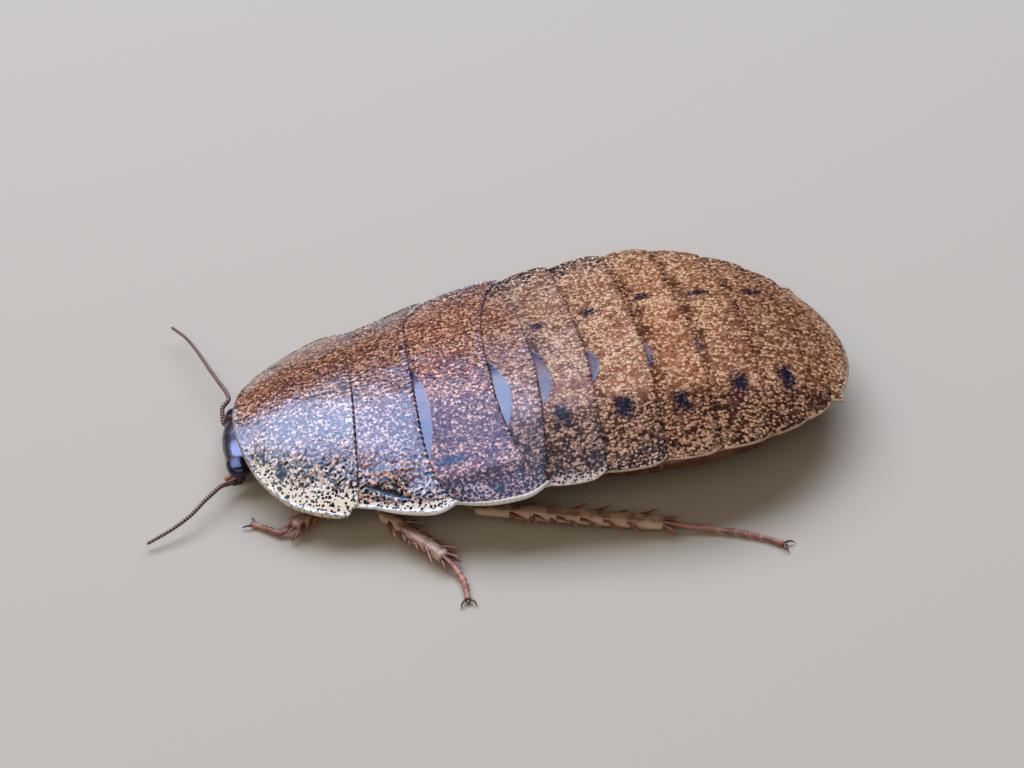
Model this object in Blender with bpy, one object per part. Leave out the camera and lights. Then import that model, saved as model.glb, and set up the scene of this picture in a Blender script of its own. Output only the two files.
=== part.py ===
# Bark cockroach: a wingless adult female, life size, standing with its feelers spread.
# The head points to -X, the tail to +X, the animal's left side to -Y, and up is +Z.
# Sizes are in millimetres along the body, counted from the front edge of the pronotum,
# from the midline and from the ground, and become metres when a mesh is made.

import math

import bmesh
import bpy
import numpy as np
from mathutils import Vector

MM = 0.001

# Driving sizes of the animal
BODY_LENGTH = 27.0
HALF_WIDTH = 7.6            # widest half breadth, over the third tergite
PRONOTUM_HALF_WIDTH = 6.35
WIDEST_FROM = 11.0          # the sides run straight between these two places
WIDEST_TO = 17.7
SHOULDER = 5.5              # where the round front of the outline ends
PLATE = 0.55                # thickness of a back plate
RIM = 0.45                  # thickness of its side margin
GAP = 0.3                   # clearance between pieces that touch
PLATE_LIP = 0.1             # how far a plate's rear edge stands over the next plate
THORAX_BELLY = 1.5          # height of the underside of the thorax
ABDOMEN_BELLY = 1.0

# Height of the back along the midline and along the side margin
CREST = ((0.0, 2.5), (2.5, 3.15), (5.0, 3.4), (10.0, 3.5), (15.0, 3.55), (19.0, 3.8),
         (22.0, 3.85), (24.5, 3.45), (26.0, 2.9), (27.0, 2.2))
MARGIN = ((0.0, 2.5), (0.8, 1.8), (2.3, 1.45), (5.0, 1.58), (7.0, 1.75), (11.0, 2.4),
          (15.0, 3.05), (19.0, 3.42), (23.0, 3.08), (27.0, 2.2))

# Rear edge of each back plate: its place on the midline, its place at the side margin,
# and how late it bends between the two
REAR_EDGES = {
    "pronotum": (5.18, 4.82, 1.5),
    "mesonotum": (7.8, 8.9, 5.0),
    "metanotum": (11.15, 12.6, 2.8),
    "tergite_1": (13.1, 12.35, 2.0),
    "tergite_2": (15.42, 14.95, 1.3),
    "tergite_3": (17.92, 17.42, 1.6),
    "tergite_4": (20.15, 19.7, 1.6),
    "tergite_5": (22.5, 22.0, 1.6),
    "tergite_6": (24.7, 23.8, 1.6),
    "tergite_7": (25.9, 25.1, 1.6),
}
TERGITE_1_REACH = 0.83      # the first tergite ends under the metanotum's side lobes

# How strongly each plate's side margin is rounded into a lobe of its own
LOBES = {"mesonotum": 1.0, "metanotum": 1.0, "tergite_1": 0.0, "tergite_2": 0.9, "tergite_3": 0.8,
         "tergite_4": 0.6, "tergite_5": 0.45, "tergite_6": 0.35, "tergite_7": 0.3}
LOBE_FRONT = 0.28
LOBE_REAR = 0.22
LOBE_CORNER = 0.28          # share of the side margin that the rear corner takes

# Colours as linear values: mottled brown back, tan limbs, dark feelers and eyes
COLOURS = {
    "pronotum_chitin": (0.23, 0.17, 0.13),
    "thorax_chitin": (0.20, 0.14, 0.12),
    "abdomen_chitin": (0.24, 0.12, 0.06),
    "underside_chitin": (0.13, 0.05, 0.02),
    "leg_chitin": (0.35, 0.17, 0.08),
    "tarsus_chitin": (0.30, 0.09, 0.04),
    "antenna_chitin": (0.05, 0.025, 0.015),
    "head_chitin": (0.06, 0.03, 0.02),
    "eye_cuticle": (0.01, 0.01, 0.012),
}

SIDES = {"left": -1, "right": 1}


def clear_scene():
    for item in list(bpy.data.objects):
        bpy.data.objects.remove(item, do_unlink=True)


def material(name):
    made = bpy.data.materials.get(name)
    if made is None:
        made = bpy.data.materials.new(name)
        made.use_nodes = True
        shader = made.node_tree.nodes["Principled BSDF"]
        shader.inputs["Base Color"].default_value = (*COLOURS[name], 1.0)
        shader.inputs["Roughness"].default_value = 0.12 if name == "eye_cuticle" else 0.45
        shader.inputs["Metallic"].default_value = 0.0
    return made


def solid(name, points, faces, surface):
    """One closed mesh object, from points in millimetres."""
    mesh = bpy.data.meshes.new(name)
    mesh.from_pydata([tuple(value * MM for value in point) for point in points], [], faces)
    grown = bmesh.new()
    grown.from_mesh(mesh)
    bmesh.ops.recalc_face_normals(grown, faces=grown.faces)
    bmesh.ops.triangulate(grown, faces=grown.faces)
    grown.to_mesh(mesh)
    grown.free()
    mesh.shade_smooth()
    mesh.set_sharp_from_angle(angle=math.radians(40))
    mesh.materials.append(material(surface))
    made = bpy.data.objects.new(name, mesh)
    bpy.context.scene.collection.objects.link(made)
    return made


def through(points, place):
    """The value at a place on the smooth curve through a few (place, value) points."""
    places = np.array([point[0] for point in points])
    values = np.array([point[1] for point in points])
    steps = np.diff(values) / np.diff(places)
    slopes = np.zeros(len(points))
    for index in range(1, len(points) - 1):
        before, after = steps[index - 1], steps[index]
        slopes[index] = 0.0 if before * after <= 0 else 2 * before * after / (before + after)
    slopes[0], slopes[-1] = steps[0], steps[-1]
    place = min(max(place, places[0]), places[-1])
    index = min(int(np.searchsorted(places, place, side="right")) - 1, len(points) - 2)
    span = places[index + 1] - places[index]
    t = (place - places[index]) / span
    return float((2 * t**3 - 3 * t**2 + 1) * values[index] + (t**3 - 2 * t**2 + t) * span * slopes[index]
                 + (3 * t**2 - 2 * t**3) * values[index + 1] + (t**3 - t**2) * span * slopes[index + 1])


def half_width(x):
    """Half breadth of the whole outline at a place along the body."""
    if x < SHOULDER:
        return PRONOTUM_HALF_WIDTH * math.sqrt(max(1 - ((SHOULDER - x) / SHOULDER) ** 2, 0.0))
    if x < WIDEST_FROM:
        spread = math.sin(math.pi / 2 * (x - SHOULDER) / (WIDEST_FROM - SHOULDER))
        return PRONOTUM_HALF_WIDTH + (HALF_WIDTH - PRONOTUM_HALF_WIDTH) * spread
    if x < WIDEST_TO:
        return HALF_WIDTH
    return HALF_WIDTH * math.sqrt(max(1 - ((x - WIDEST_TO) / (BODY_LENGTH - WIDEST_TO)) ** 2, 0.0))


def back_height(x, y):
    """Height of the domed back over a point of the plan."""
    reach = min(abs(y) / max(half_width(x), 0.01), 1.0)
    low = through(MARGIN, x)
    return low + (through(CREST, x) - low) * (1 - reach ** 2.1)


def rear_edge(name, across):
    """Place of a plate's rear edge, for across from -1 to 1."""
    middle, side, bend = REAR_EDGES[name]
    return middle + (side - middle) * abs(across) ** bend


def front_edge(name, across):
    """Place of a plate's front edge, just behind the plates in front of it."""
    names = list(REAR_EDGES) + ["supra_anal_plate"]
    ahead = names[:names.index(name)]
    return max(rear_edge(other, across) for other in ahead[-2:]) + GAP


def lobe(along):
    """How far a plate's side margin draws in towards its two corners, for along from 0 to 1."""
    corner = max(along - 1 + LOBE_CORNER, 0.0) / LOBE_CORNER
    return LOBE_FRONT * (1 - along) ** 3 + LOBE_REAR * corner ** 2


def plate(name, edges, surface, rows, columns, reach=1.0):
    """A domed back plate between a front and a rear edge, with a thin side margin."""
    tops, bottoms = [], []
    for row in range(rows + 1):
        along = row / rows
        for column in range(columns + 1):
            across = math.sin(math.pi / 2 * (2 * column / columns - 1)) * reach
            front, rear, y = edges(across, along)
            x = front + (rear - front) * along
            y -= math.copysign(LOBES.get(name, 0.0) * lobe(along) * abs(across / reach) ** 8, y)
            z = back_height(x, y) + PLATE_LIP * along ** 3
            thick = PLATE + (RIM - PLATE) * abs(across) ** 4
            tops.append((x, y, z))
            bottoms.append((x, y, z - thick))
    wide = columns + 1
    low = len(tops)
    faces = []
    for row in range(rows):
        for column in range(columns):
            a = row * wide + column
            corners = (a, a + 1, a + 1 + wide, a + wide)
            faces.append(corners)
            faces.append(tuple(low + corner for corner in reversed(corners)))
    rim = list(range(wide))
    rim += [row * wide + columns for row in range(1, rows + 1)]
    rim += [rows * wide + column for column in range(columns - 1, -1, -1)]
    rim += [row * wide for row in range(rows - 1, 0, -1)]
    for here, there in zip(rim, rim[1:] + rim[:1]):
        faces.append((here, there, low + there, low + here))
    return solid(name, tops + bottoms, faces, surface)


def make_back():
    """Pronotum, mesonotum, metanotum, seven tergites and the supra-anal plate."""
    corner = REAR_EDGES["pronotum"][1]
    widest = half_width(corner)

    def hood(across, along):
        y = across * widest
        front = SHOULDER * (1 - math.sqrt(1 - (y / PRONOTUM_HALF_WIDTH) ** 2))
        return min(front, corner - 0.5), rear_edge("pronotum", across), y

    plate("pronotum", hood, "pronotum_chitin", rows=7, columns=22)

    for name in list(REAR_EDGES)[1:]:
        def band(across, along, name=name):
            front, rear = front_edge(name, across), rear_edge(name, across)
            return front, rear, across * half_width(front + (rear - front) * along)

        surface = "thorax_chitin" if name.endswith("notum") else "abdomen_chitin"
        reach = TERGITE_1_REACH if name == "tergite_1" else 1.0
        plate(name, band, surface, rows=4, columns=20, reach=reach)

    root = REAR_EDGES["tergite_7"][1] + GAP
    base = half_width(root)

    def tail(across, along):
        y = across * base
        front = front_edge("supra_anal_plate", across)
        rear = WIDEST_TO + (BODY_LENGTH - WIDEST_TO) * math.sqrt(1 - (y / HALF_WIDTH) ** 2)
        return front, max(rear, front + 0.35), y

    plate("supra_anal_plate", tail, "abdomen_chitin", rows=3, columns=14)


def core(name, start, end, reach, belly, rise, surface, curve=0.0):
    """The body under the back plates between two cuts across it, with a flatly rounded belly."""
    stations, top_points, low_points = 3, 9, 7
    points, faces = [], []
    for station in range(stations):
        x = start + (end - start) * station / (stations - 1)
        wide = reach(x) * half_width(x)
        ring = []
        for index in range(top_points):
            y = wide * (2 * index / (top_points - 1) - 1)
            bent = x - curve * (y / HALF_WIDTH) ** 2
            ring.append((bent, y, back_height(bent, y) - PLATE - GAP))
        for index in range(low_points):
            y = wide * (1 - 2 * index / (low_points - 1)) * 0.97
            bent = x - curve * (y / HALF_WIDTH) ** 2
            ring.append((bent, y, belly(x) + rise(x) * abs(y / wide) ** 2.6))
        points += ring
    size = top_points + low_points
    for station in range(stations - 1):
        for index in range(size):
            a, b = station * size + index, station * size + (index + 1) % size
            faces.append((a, b, b + size, a + size))
    faces.append(tuple(range(size - 1, -1, -1)))
    faces.append(tuple(range((stations - 1) * size, stations * size)))
    return solid(name, points, faces, surface)


def make_underside():
    """The three thorax segments and the overlapping belly plates of the abdomen."""
    thorax_cuts = (2.6, 5.05, 8.15, 11.45)
    names = ("prothorax_underside", "mesothorax_underside", "metathorax_underside")
    for name, start, end in zip(names, thorax_cuts, thorax_cuts[1:]):
        core(name, start, end - GAP, lambda x: 0.5, lambda x: THORAX_BELLY, lambda x: 0.15,
             "underside_chitin")

    abdomen_reach = ((11.4, 0.66), (14.0, 0.78), (18.0, 0.86), (24.0, 0.82))
    abdomen_belly = ((11.4, 1.4), (13.5, 1.1), (16.0, ABDOMEN_BELLY), (21.0, ABDOMEN_BELLY),
                     (24.5, 1.3), (26.3, 1.5))
    abdomen_rise = ((11.4, 0.3), (14.0, 0.6), (18.0, 0.95), (24.0, 0.6), (26.3, 0.1))
    cuts = (11.45, 13.4, 15.6, 17.9, 20.2, 22.4, 24.5)
    for number, (start, end) in enumerate(zip(cuts, cuts[1:]), start=1):
        core("sternite_%d" % number, start, end - GAP, lambda x: through(abdomen_reach, x),
             lambda x: through(abdomen_belly, x), lambda x: through(abdomen_rise, x),
             "underside_chitin", curve=0.6)
    core("subgenital_plate", cuts[-1], 26.1, lambda x: 0.44, lambda x: through(abdomen_belly, x),
         lambda x: 0.15, "underside_chitin", curve=0.6)


def slide_to(point, direction, plane_point, plane_normal):
    """Move a point along a direction until it lies in a plane."""
    travel = (plane_point - point).dot(plane_normal) / direction.dot(plane_normal)
    return point + direction * travel


def tube(name, path, radii, sides, surface, start_normal=None, end_normal=None, floor=False):
    """A closed tube of oval section along a path. radii holds (half width, half height) per
    point, and the end faces are cut square, or along the plane of a joint."""
    path = [Vector(point) for point in path]
    points, faces = [], []
    last = len(path) - 1
    for index, centre in enumerate(path):
        ahead = (path[min(index + 1, last)] - path[max(index - 1, 0)]).normalized()
        beside = ahead.cross(Vector((0, 0, 1))).normalized()
        above = beside.cross(ahead)
        wide, high = radii[index]
        for corner in range(sides):
            turn = 2 * math.pi * corner / sides
            point = centre + beside * wide * math.cos(turn) + above * high * math.sin(turn)
            if index == 0 and start_normal is not None:
                point = slide_to(point, ahead, centre, start_normal)
            if index == last and end_normal is not None:
                point = slide_to(point, ahead, centre, end_normal)
            if floor:
                point.z = max(point.z, 0.0)
            points.append(tuple(point))
    for index in range(last):
        for corner in range(sides):
            a, b = index * sides + corner, index * sides + (corner + 1) % sides
            faces.append((a, b, b + sides, a + sides))
    faces.append(tuple(range(sides - 1, -1, -1)))
    faces.append(tuple(range(last * sides, (last + 1) * sides)))
    return solid(name, points, faces, surface)


def smooth_path(points, count):
    """Points evenly spread along the smooth curve through a few given points."""
    points = [Vector(point) for point in points]
    places = [0.0]
    for before, after in zip(points, points[1:]):
        places.append(places[-1] + (after - before).length)
    curves = [[(place, point[axis]) for place, point in zip(places, points)] for axis in range(3)]
    return [Vector([through(curve, places[-1] * step / (count - 1)) for curve in curves])
            for step in range(count)]


def cone(name, root, tip, thick, surface, sides=5, tip_share=0.16):
    """A tapered spine from its sunk root to its tip."""
    return tube(name, (root, tip), ((thick, thick), (thick * tip_share, thick * tip_share)),
                sides, surface)


def fuse(body, pieces):
    """Join closed pieces to a body as one closed surface."""
    group = bpy.data.collections.new(body.name + "_pieces")
    for piece in pieces:
        group.objects.link(piece)
    join = body.modifiers.new("join", "BOOLEAN")
    join.operation = "UNION"
    join.operand_type = "COLLECTION"
    join.collection = group
    bpy.context.view_layer.update()
    joined = bpy.data.meshes.new_from_object(body.evaluated_get(bpy.context.evaluated_depsgraph_get()))
    body.modifiers.remove(join)
    body.data = joined
    for piece in pieces:
        bpy.data.objects.remove(piece, do_unlink=True)
    bpy.data.collections.remove(group)
    keep_largest(body)


def keep_largest(body):
    """Keep only the largest closed surface of a mesh."""
    grown = bmesh.new()
    grown.from_mesh(body.data)
    left, shells = set(grown.faces), []
    while left:
        shell, edge = set(), [left.pop()]
        while edge:
            face = edge.pop()
            shell.add(face)
            for near in {other for line in face.edges for other in line.link_faces}:
                if near in left:
                    left.discard(near)
                    edge.append(near)
        shells.append(shell)
    largest = max(shells, key=lambda shell: sum(face.calc_area() for face in shell))
    loose = [face for shell in shells if shell is not largest for face in shell]
    bmesh.ops.delete(grown, geom=loose, context="FACES")
    bmesh.ops.triangulate(grown, faces=grown.faces)
    grown.to_mesh(body.data)
    grown.free()


# Each leg, given for the left side: where its coxa starts and ends, its knee, its ankle,
# and the points that its tarsus follows to the claws. The right side mirrors it, with the
# foot drawn in under the body, and the last pair of numbers moves its knee and foot along.
LEGS = {
    "fore": {
        "coxa": ((2.95, -1.5, 0.9), (4.4, -1.0, 0.85)),
        "knee": (3.9, -4.1, 0.8),
        "ankle": (2.05, -5.2, 0.45),
        "foot": ((1.6, -5.15, 0.36), (1.0, -4.75, 0.3), (0.4, -4.3, 0.25)),
        "widths": (0.5, 0.42, 0.26),
        "spines": 6,
        "shift": (0.0, 0.3),
    },
    "mid": {
        "coxa": ((5.6, -1.6, 0.9), (7.6, -1.0, 0.85)),
        "knee": (5.7, -5.4, 0.85),
        "ankle": (8.1, -8.3, 0.5),
        "foot": ((8.45, -8.9, 0.38), (8.65, -9.7, 0.3), (8.65, -10.45, 0.25)),
        "widths": (0.6, 0.52, 0.28),
        "spines": 8,
        "shift": (0.2, 0.5),
    },
    "hind": {
        "coxa": ((8.7, -1.75, 0.9), (10.9, -1.05, 0.85)),
        "knee": (9.5, -6.0, 0.9),
        "ankle": (17.25, -8.1, 0.55),
        "foot": ((18.75, -8.42, 0.38), (20.0, -8.85, 0.3), (21.0, -9.35, 0.27), (21.7, -9.85, 0.25)),
        "widths": (0.62, 0.6, 0.3),
        "spines": 12,
        "shift": (-0.2, -0.5),
    },
}
COXA_HALF_HEIGHT = 0.3
FEMUR_HALF_HEIGHT = 0.3
SPINE_LENGTH = 0.85
SPINE_THICK = 0.22
TARSUS_RADIUS = 0.25
RIGHT_TUCK = 0.4            # share by which the right feet are drawn in, beyond this reach
TUCK_FROM = 6.5
CLAW_LENGTH = 0.35


def limb(name, start, end, start_cut, end_cut, stations, surface, sides=8):
    """A straight leg segment between two joints. Stations are (share, half width, half height),
    and the cuts are the planes of the two joints, half a gap away on its own side."""
    ahead = (end - start).normalized()
    first = start + ahead * (GAP / 2 / abs(ahead.dot(start_cut)))
    final = end - ahead * (GAP / 2 / abs(ahead.dot(end_cut)))
    path = [first + (final - first) * share for share, _, _ in stations]
    radii = [(wide, high) for _, wide, high in stations]
    return tube(name, path, radii, sides, surface, start_cut, end_cut)


def tibia_spines(name, start, end, radius, count):
    """Stout spines in two ranks along the outer and lower edges of a tibia, and a crown of
    four round its end."""
    ahead = (end - start).normalized()
    beside = ahead.cross(Vector((0, 0, 1))).normalized()
    above = beside.cross(ahead)
    made = []
    ranks = (35, 145)
    for index in range(count):
        share = 0.2 + 0.66 * index / (count - 1)
        turn = math.radians(ranks[index % 2])
        out = beside * math.cos(turn) + above * math.sin(turn) * 0.6
        length = SPINE_LENGTH * (0.85 + 0.15 * math.cos(2.1 * index))
        root = start.lerp(end, share) + out * radius * 0.25
        tip = root + (out * 0.66 + ahead * 0.75).normalized() * (length + radius * 0.75)
        made.append(cone("%s_spine_%d" % (name, index), root, tip, SPINE_THICK, "tarsus_chitin"))
    return made


def make_legs():
    for pair, leg in LEGS.items():
        for side, sign in SIDES.items():
            knee_shift, foot_shift, tuck = 0.0, 0.0, 0.0
            if side == "right":
                knee_shift, foot_shift = leg["shift"]
                tuck = RIGHT_TUCK

            def place(point, shift=0.0):
                y = abs(point[1]) - tuck * max(abs(point[1]) - TUCK_FROM, 0.0)
                return Vector((point[0] + shift, sign * y, point[2]))

            root, apex = (place(point) for point in leg["coxa"])
            knee = place(leg["knee"], knee_shift)
            ankle = place(leg["ankle"], foot_shift)
            foot = [place(point, foot_shift) for point in leg["foot"]]
            joints = [root, apex, knee, ankle, foot[0]]
            ways = [(b - a).normalized() for a, b in zip(joints, joints[1:])]
            cuts = [ways[0]] + [(a + b).normalized() for a, b in zip(ways, ways[1:])]
            coxa_wide, femur_wide, tibia_wide = leg["widths"]
            tag = "_%s_%s" % (pair, side)
            high = COXA_HALF_HEIGHT
            limb("coxa" + tag, root, apex, cuts[0], cuts[1],
                 ((0, 0.5 * coxa_wide, 0.7 * high), (0.2, 0.9 * coxa_wide, high),
                  (0.5, coxa_wide, high), (0.72, 0.75 * coxa_wide, high), (1, 0.28, 0.26)),
                 "underside_chitin")
            high = FEMUR_HALF_HEIGHT
            limb("femur" + tag, apex, knee, cuts[1], cuts[2],
                 ((0, 0.28, 0.26), (0.22, 0.8 * femur_wide, high), (0.5, femur_wide, high),
                  (0.8, 0.7 * femur_wide, high), (1, 0.27, 0.26)), "leg_chitin")
            shin = limb("tibia" + tag, knee, ankle, cuts[2], cuts[3],
                        ((0, 0.26, 0.26), (0.12, 0.9 * tibia_wide, 0.28),
                         (0.6, tibia_wide, 0.28), (1, 0.9 * tibia_wide, 0.26)), "leg_chitin")
            fuse(shin, tibia_spines("tibia" + tag, knee, ankle, tibia_wide, leg["spines"]))
            make_tarsus("tarsus" + tag, ankle, foot, cuts[3])


def make_tarsus(name, ankle, foot, cut):
    """Five short joints in a row, thick at their ends, and two claws on the last one."""
    start = ankle + (foot[0] - ankle).normalized() * GAP / 2
    count = 11
    path = smooth_path([start] + foot, count)
    radii = []
    for index in range(count):
        swell = 1.0 if index % 2 == 0 else 0.84
        radii.append((TARSUS_RADIUS * swell, TARSUS_RADIUS * swell))
    made = tube(name, path, radii, 7, "tarsus_chitin", start_normal=cut, floor=True)
    ahead = (path[-1] - path[-2]).normalized()
    beside = ahead.cross(Vector((0, 0, 1))).normalized()
    claws = []
    for turn in (-1, 1):
        root = path[-1] - ahead * 0.18 + beside * turn * 0.06
        tip = path[-1] + ahead * CLAW_LENGTH + beside * turn * 0.28 - Vector((0, 0, 0.08))
        claws.append(cone("%s_claw_%d" % (name, turn), root, tip, 0.14, "tarsus_chitin"))
    fuse(made, claws)


# The head hangs under the front of the hood, and all that it carries is placed from it
HEAD_FRONT = -0.6
HEAD_REAR = 2.3
HEAD_HALF_WIDTH = 1.7
HEAD_TOP = 1.62
HEAD_BOTTOM = 0.85
FEELER_RADIUS = 0.25

# Where each feeler runs: along the body, out from its root beside the head, and height
FEELER_POINTS = {
    "left": ((0.6, -0.22, 0.3), (0.2, -0.2, 0.33), (-0.1, -0.14, 0.4), (-0.5, 0.05, 0.65),
             (-0.89, 0.47, 0.86), (-1.4, 1.05, 0.85), (-2.2, 1.91, 0.72), (-2.94, 2.35, 0.55),
             (-4.0, 2.8, 0.35)),
    "right": ((0.6, -0.22, 0.3), (0.15, -0.2, 0.33), (-0.25, -0.15, 0.42), (-0.6, 0.15, 0.68),
              (-0.58, 0.65, 0.95), (-0.25, 1.12, 1.13), (-0.67, 2.35, 1.25), (-1.05, 3.4, 1.22),
              (-1.54, 4.85, 1.15), (-2.1, 6.3, 1.0), (-2.8, 7.6, 0.8)),
}


def make_head():
    """The head capsule, bent down under the hood, with flat sides that carry the eyes."""
    middle = (HEAD_TOP + HEAD_BOTTOM) / 2
    tall = (HEAD_TOP - HEAD_BOTTOM) / 2
    length = HEAD_REAR - HEAD_FRONT
    stations = ((0.0, 0.55, 0.5), (0.06, 0.8, 0.72), (0.16, 0.94, 0.92), (0.32, 1.0, 1.0),
                (0.6, 0.98, 0.98), (0.85, 0.75, 0.8), (1.0, 0.55, 0.6))
    sides = 16
    points, faces = [], []
    for share, wide, high in stations:
        for index in range(sides):
            turn = 2 * math.pi * index / sides
            flat_y = math.copysign(abs(math.cos(turn)) ** 0.7, math.cos(turn))
            flat_z = math.copysign(abs(math.sin(turn)) ** 0.8, math.sin(turn))
            points.append((HEAD_FRONT + length * share, HEAD_HALF_WIDTH * wide * flat_y,
                           middle + tall * high * flat_z))
    for row in range(len(stations) - 1):
        for index in range(sides):
            a, b = row * sides + index, row * sides + (index + 1) % sides
            faces.append((a, b, b + sides, a + sides))
    faces.append(tuple(range(sides - 1, -1, -1)))
    faces.append(tuple(range((len(stations) - 1) * sides, len(stations) * sides)))
    solid("head", points, faces, "head_chitin")


def make_mouth():
    """The lip and jaws folded under the head, and a palp on each side of them."""
    half = 0.25
    height = HEAD_BOTTOM - GAP - half
    lip = ((HEAD_FRONT + 1.3, 0.0, height), (HEAD_FRONT + 0.6, 0.0, height),
           (HEAD_FRONT + 0.15, 0.0, height - 0.02))
    tube("mouthparts", lip, ((0.45, half), (0.42, half), (0.25, 0.16)), 8, "leg_chitin",
         start_normal=Vector((1, 0, 0)))
    for side, sign in SIDES.items():
        bends = ((HEAD_FRONT + 1.2, 1.0 * sign, height), (HEAD_FRONT + 0.7, 1.03 * sign, height),
                 (HEAD_FRONT + 0.3, 1.08 * sign, height), (HEAD_FRONT - 0.1, 1.2 * sign, height))
        radii = [(half, half)] * 6 + [(0.14, 0.14)]
        tube("palp_" + side, smooth_path(bends, 7), radii, 7, "leg_chitin",
             start_normal=Vector((1, 0, 0)))


def make_feelers():
    """Two feelers that leave the head below the eyes, their points counted out from there."""
    for side, sign in SIDES.items():
        points = [(x, sign * (HEAD_HALF_WIDTH + GAP + out), z) for x, out, z in FEELER_POINTS[side]]
        path = smooth_path(points, 20)
        radii = []
        for index in range(len(path)):
            taper = max(index / (len(path) - 1) - 0.8, 0.0) / 0.2
            radius = FEELER_RADIUS * (1 - 0.5 * taper)
            radii.append((radius, radius))
        tube("antenna_" + side, path, radii, 7, "antenna_chitin",
             start_normal=Vector((1, 0, 0)))


EYE_PLACE = (0.15, 1.2)             # along the head, and above the ground
EYE_HALF_SIZE = (0.55, 0.36, 0.27)  # along the head, outwards and upwards


def make_eye(name, sign):
    """A kidney-like compound eye, as a low dome on the flat side of the head."""
    centre = Vector((EYE_PLACE[0], sign * (HEAD_HALF_WIDTH + GAP), EYE_PLACE[1]))
    long, thick, tall = EYE_HALF_SIZE
    sides, rings = 12, 3
    points, faces = [], []
    for ring in range(rings):
        rise = math.pi / 2 * ring / rings
        for index in range(sides):
            turn = 2 * math.pi * index / sides
            points.append((centre.x + long * math.cos(rise) * math.cos(turn),
                           centre.y + sign * thick * math.sin(rise),
                           centre.z + tall * math.cos(rise) * math.sin(turn)))
    points.append((centre.x, centre.y + sign * thick, centre.z))
    for ring in range(rings - 1):
        for index in range(sides):
            a, b = ring * sides + index, ring * sides + (index + 1) % sides
            faces.append((a, b, b + sides, a + sides))
    crown = rings * sides
    for index in range(sides):
        a, b = (rings - 1) * sides + index, (rings - 1) * sides + (index + 1) % sides
        faces.append((a, b, crown))
    faces.append(tuple(range(sides - 1, -1, -1)))
    solid(name, points, faces, "eye_cuticle")


CERCUS_POINTS = ((24.5, 2.9, 1.85), (25.2, 2.85, 1.85), (25.9, 2.6, 1.8))
CERCUS_RADII = ((0.3, 0.28), (0.33, 0.3), (0.3, 0.28), (0.26, 0.25), (0.12, 0.12))


def make_cerci():
    """Two short tail feelers under the last tergites."""
    for side, sign in SIDES.items():
        path = smooth_path([(x, sign * y, z) for x, y, z in CERCUS_POINTS], len(CERCUS_RADII))
        tube("cercus_" + side, path, CERCUS_RADII, 7, "underside_chitin",
             start_normal=Vector((1, 0, 0)))


def set_on_ground():
    """Put every piece under one empty, with the middle of the animal's footprint at the origin."""
    pieces = [item for item in bpy.data.objects if item.type == "MESH"]
    corners = np.array([vertex.co for item in pieces for vertex in item.data.vertices])
    low, high = corners.min(axis=0), corners.max(axis=0)
    stand = bpy.data.objects.new("cockroach", None)
    bpy.context.scene.collection.objects.link(stand)
    for item in pieces:
        item.parent = stand
    stand.location = (-(low[0] + high[0]) / 2, -(low[1] + high[1]) / 2, -low[2])
    bpy.context.view_layer.update()


clear_scene()
make_back()
make_underside()
make_head()
for side, sign in SIDES.items():
    make_eye("eye_" + side, sign)
make_mouth()
make_feelers()
make_legs()
make_cerci()
set_on_ground()
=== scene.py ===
# A bark cockroach: a wingless adult female, life size, standing with both feelers spread.
# Places are millimetres on the animal's own plan: x runs back from the front edge of the
# pronotum, y out from the midline with the animal's left negative, and z up from the ground.

import math

import bpy
import numpy as np
from mathutils import Matrix, Vector


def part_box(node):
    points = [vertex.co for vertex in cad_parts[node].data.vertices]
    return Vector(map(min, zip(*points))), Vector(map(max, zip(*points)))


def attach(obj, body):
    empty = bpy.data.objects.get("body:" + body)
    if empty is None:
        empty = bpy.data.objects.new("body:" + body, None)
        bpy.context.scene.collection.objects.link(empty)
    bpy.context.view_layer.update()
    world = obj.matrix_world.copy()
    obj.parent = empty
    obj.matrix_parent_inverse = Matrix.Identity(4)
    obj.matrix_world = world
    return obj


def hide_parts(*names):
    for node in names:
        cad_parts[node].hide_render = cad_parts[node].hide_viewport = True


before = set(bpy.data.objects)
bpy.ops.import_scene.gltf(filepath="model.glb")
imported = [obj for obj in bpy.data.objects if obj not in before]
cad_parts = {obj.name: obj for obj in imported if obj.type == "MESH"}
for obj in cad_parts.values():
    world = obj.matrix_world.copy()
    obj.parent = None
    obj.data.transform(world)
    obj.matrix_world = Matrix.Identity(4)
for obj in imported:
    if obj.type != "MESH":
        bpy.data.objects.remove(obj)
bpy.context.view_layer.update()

# Pronotum: the hood over the head and the first thorax segment. It is one plate of hardened
# chitin, cast by the skin beneath it at the last moult and free all round its edge, with a
# thin turned-up lip in front and a cream, dark-dotted border.

MM = 0.001
hood_low, hood_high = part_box("pronotum")
TIP = hood_low[0]
MIDLINE = (hood_low[1] + hood_high[1]) / 2

BODY_LENGTH = 27.0
HALF_WIDTH = 7.6
HOOD_HALF_WIDTH = 6.35
HOOD_SHOULDER = 5.5         # where the round front of the outline ends
WIDEST_FROM = 11.0          # the sides run straight between these two places
WIDEST_TO = 17.7
HOOD_REAR = (5.18, 4.82, 1.5)

# Height of the back along the midline and along its side margin
CREST = ((0.0, 2.5), (2.5, 3.15), (5.0, 3.4), (10.0, 3.5), (15.0, 3.55), (19.0, 3.8),
         (22.0, 3.85), (24.5, 3.45), (26.0, 2.9), (27.0, 2.2))
MARGIN = ((0.0, 2.5), (0.8, 1.8), (2.3, 1.45), (5.0, 1.58), (7.0, 1.75), (11.0, 2.4),
          (15.0, 3.05), (19.0, 3.42), (23.0, 3.08), (27.0, 2.2))


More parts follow.
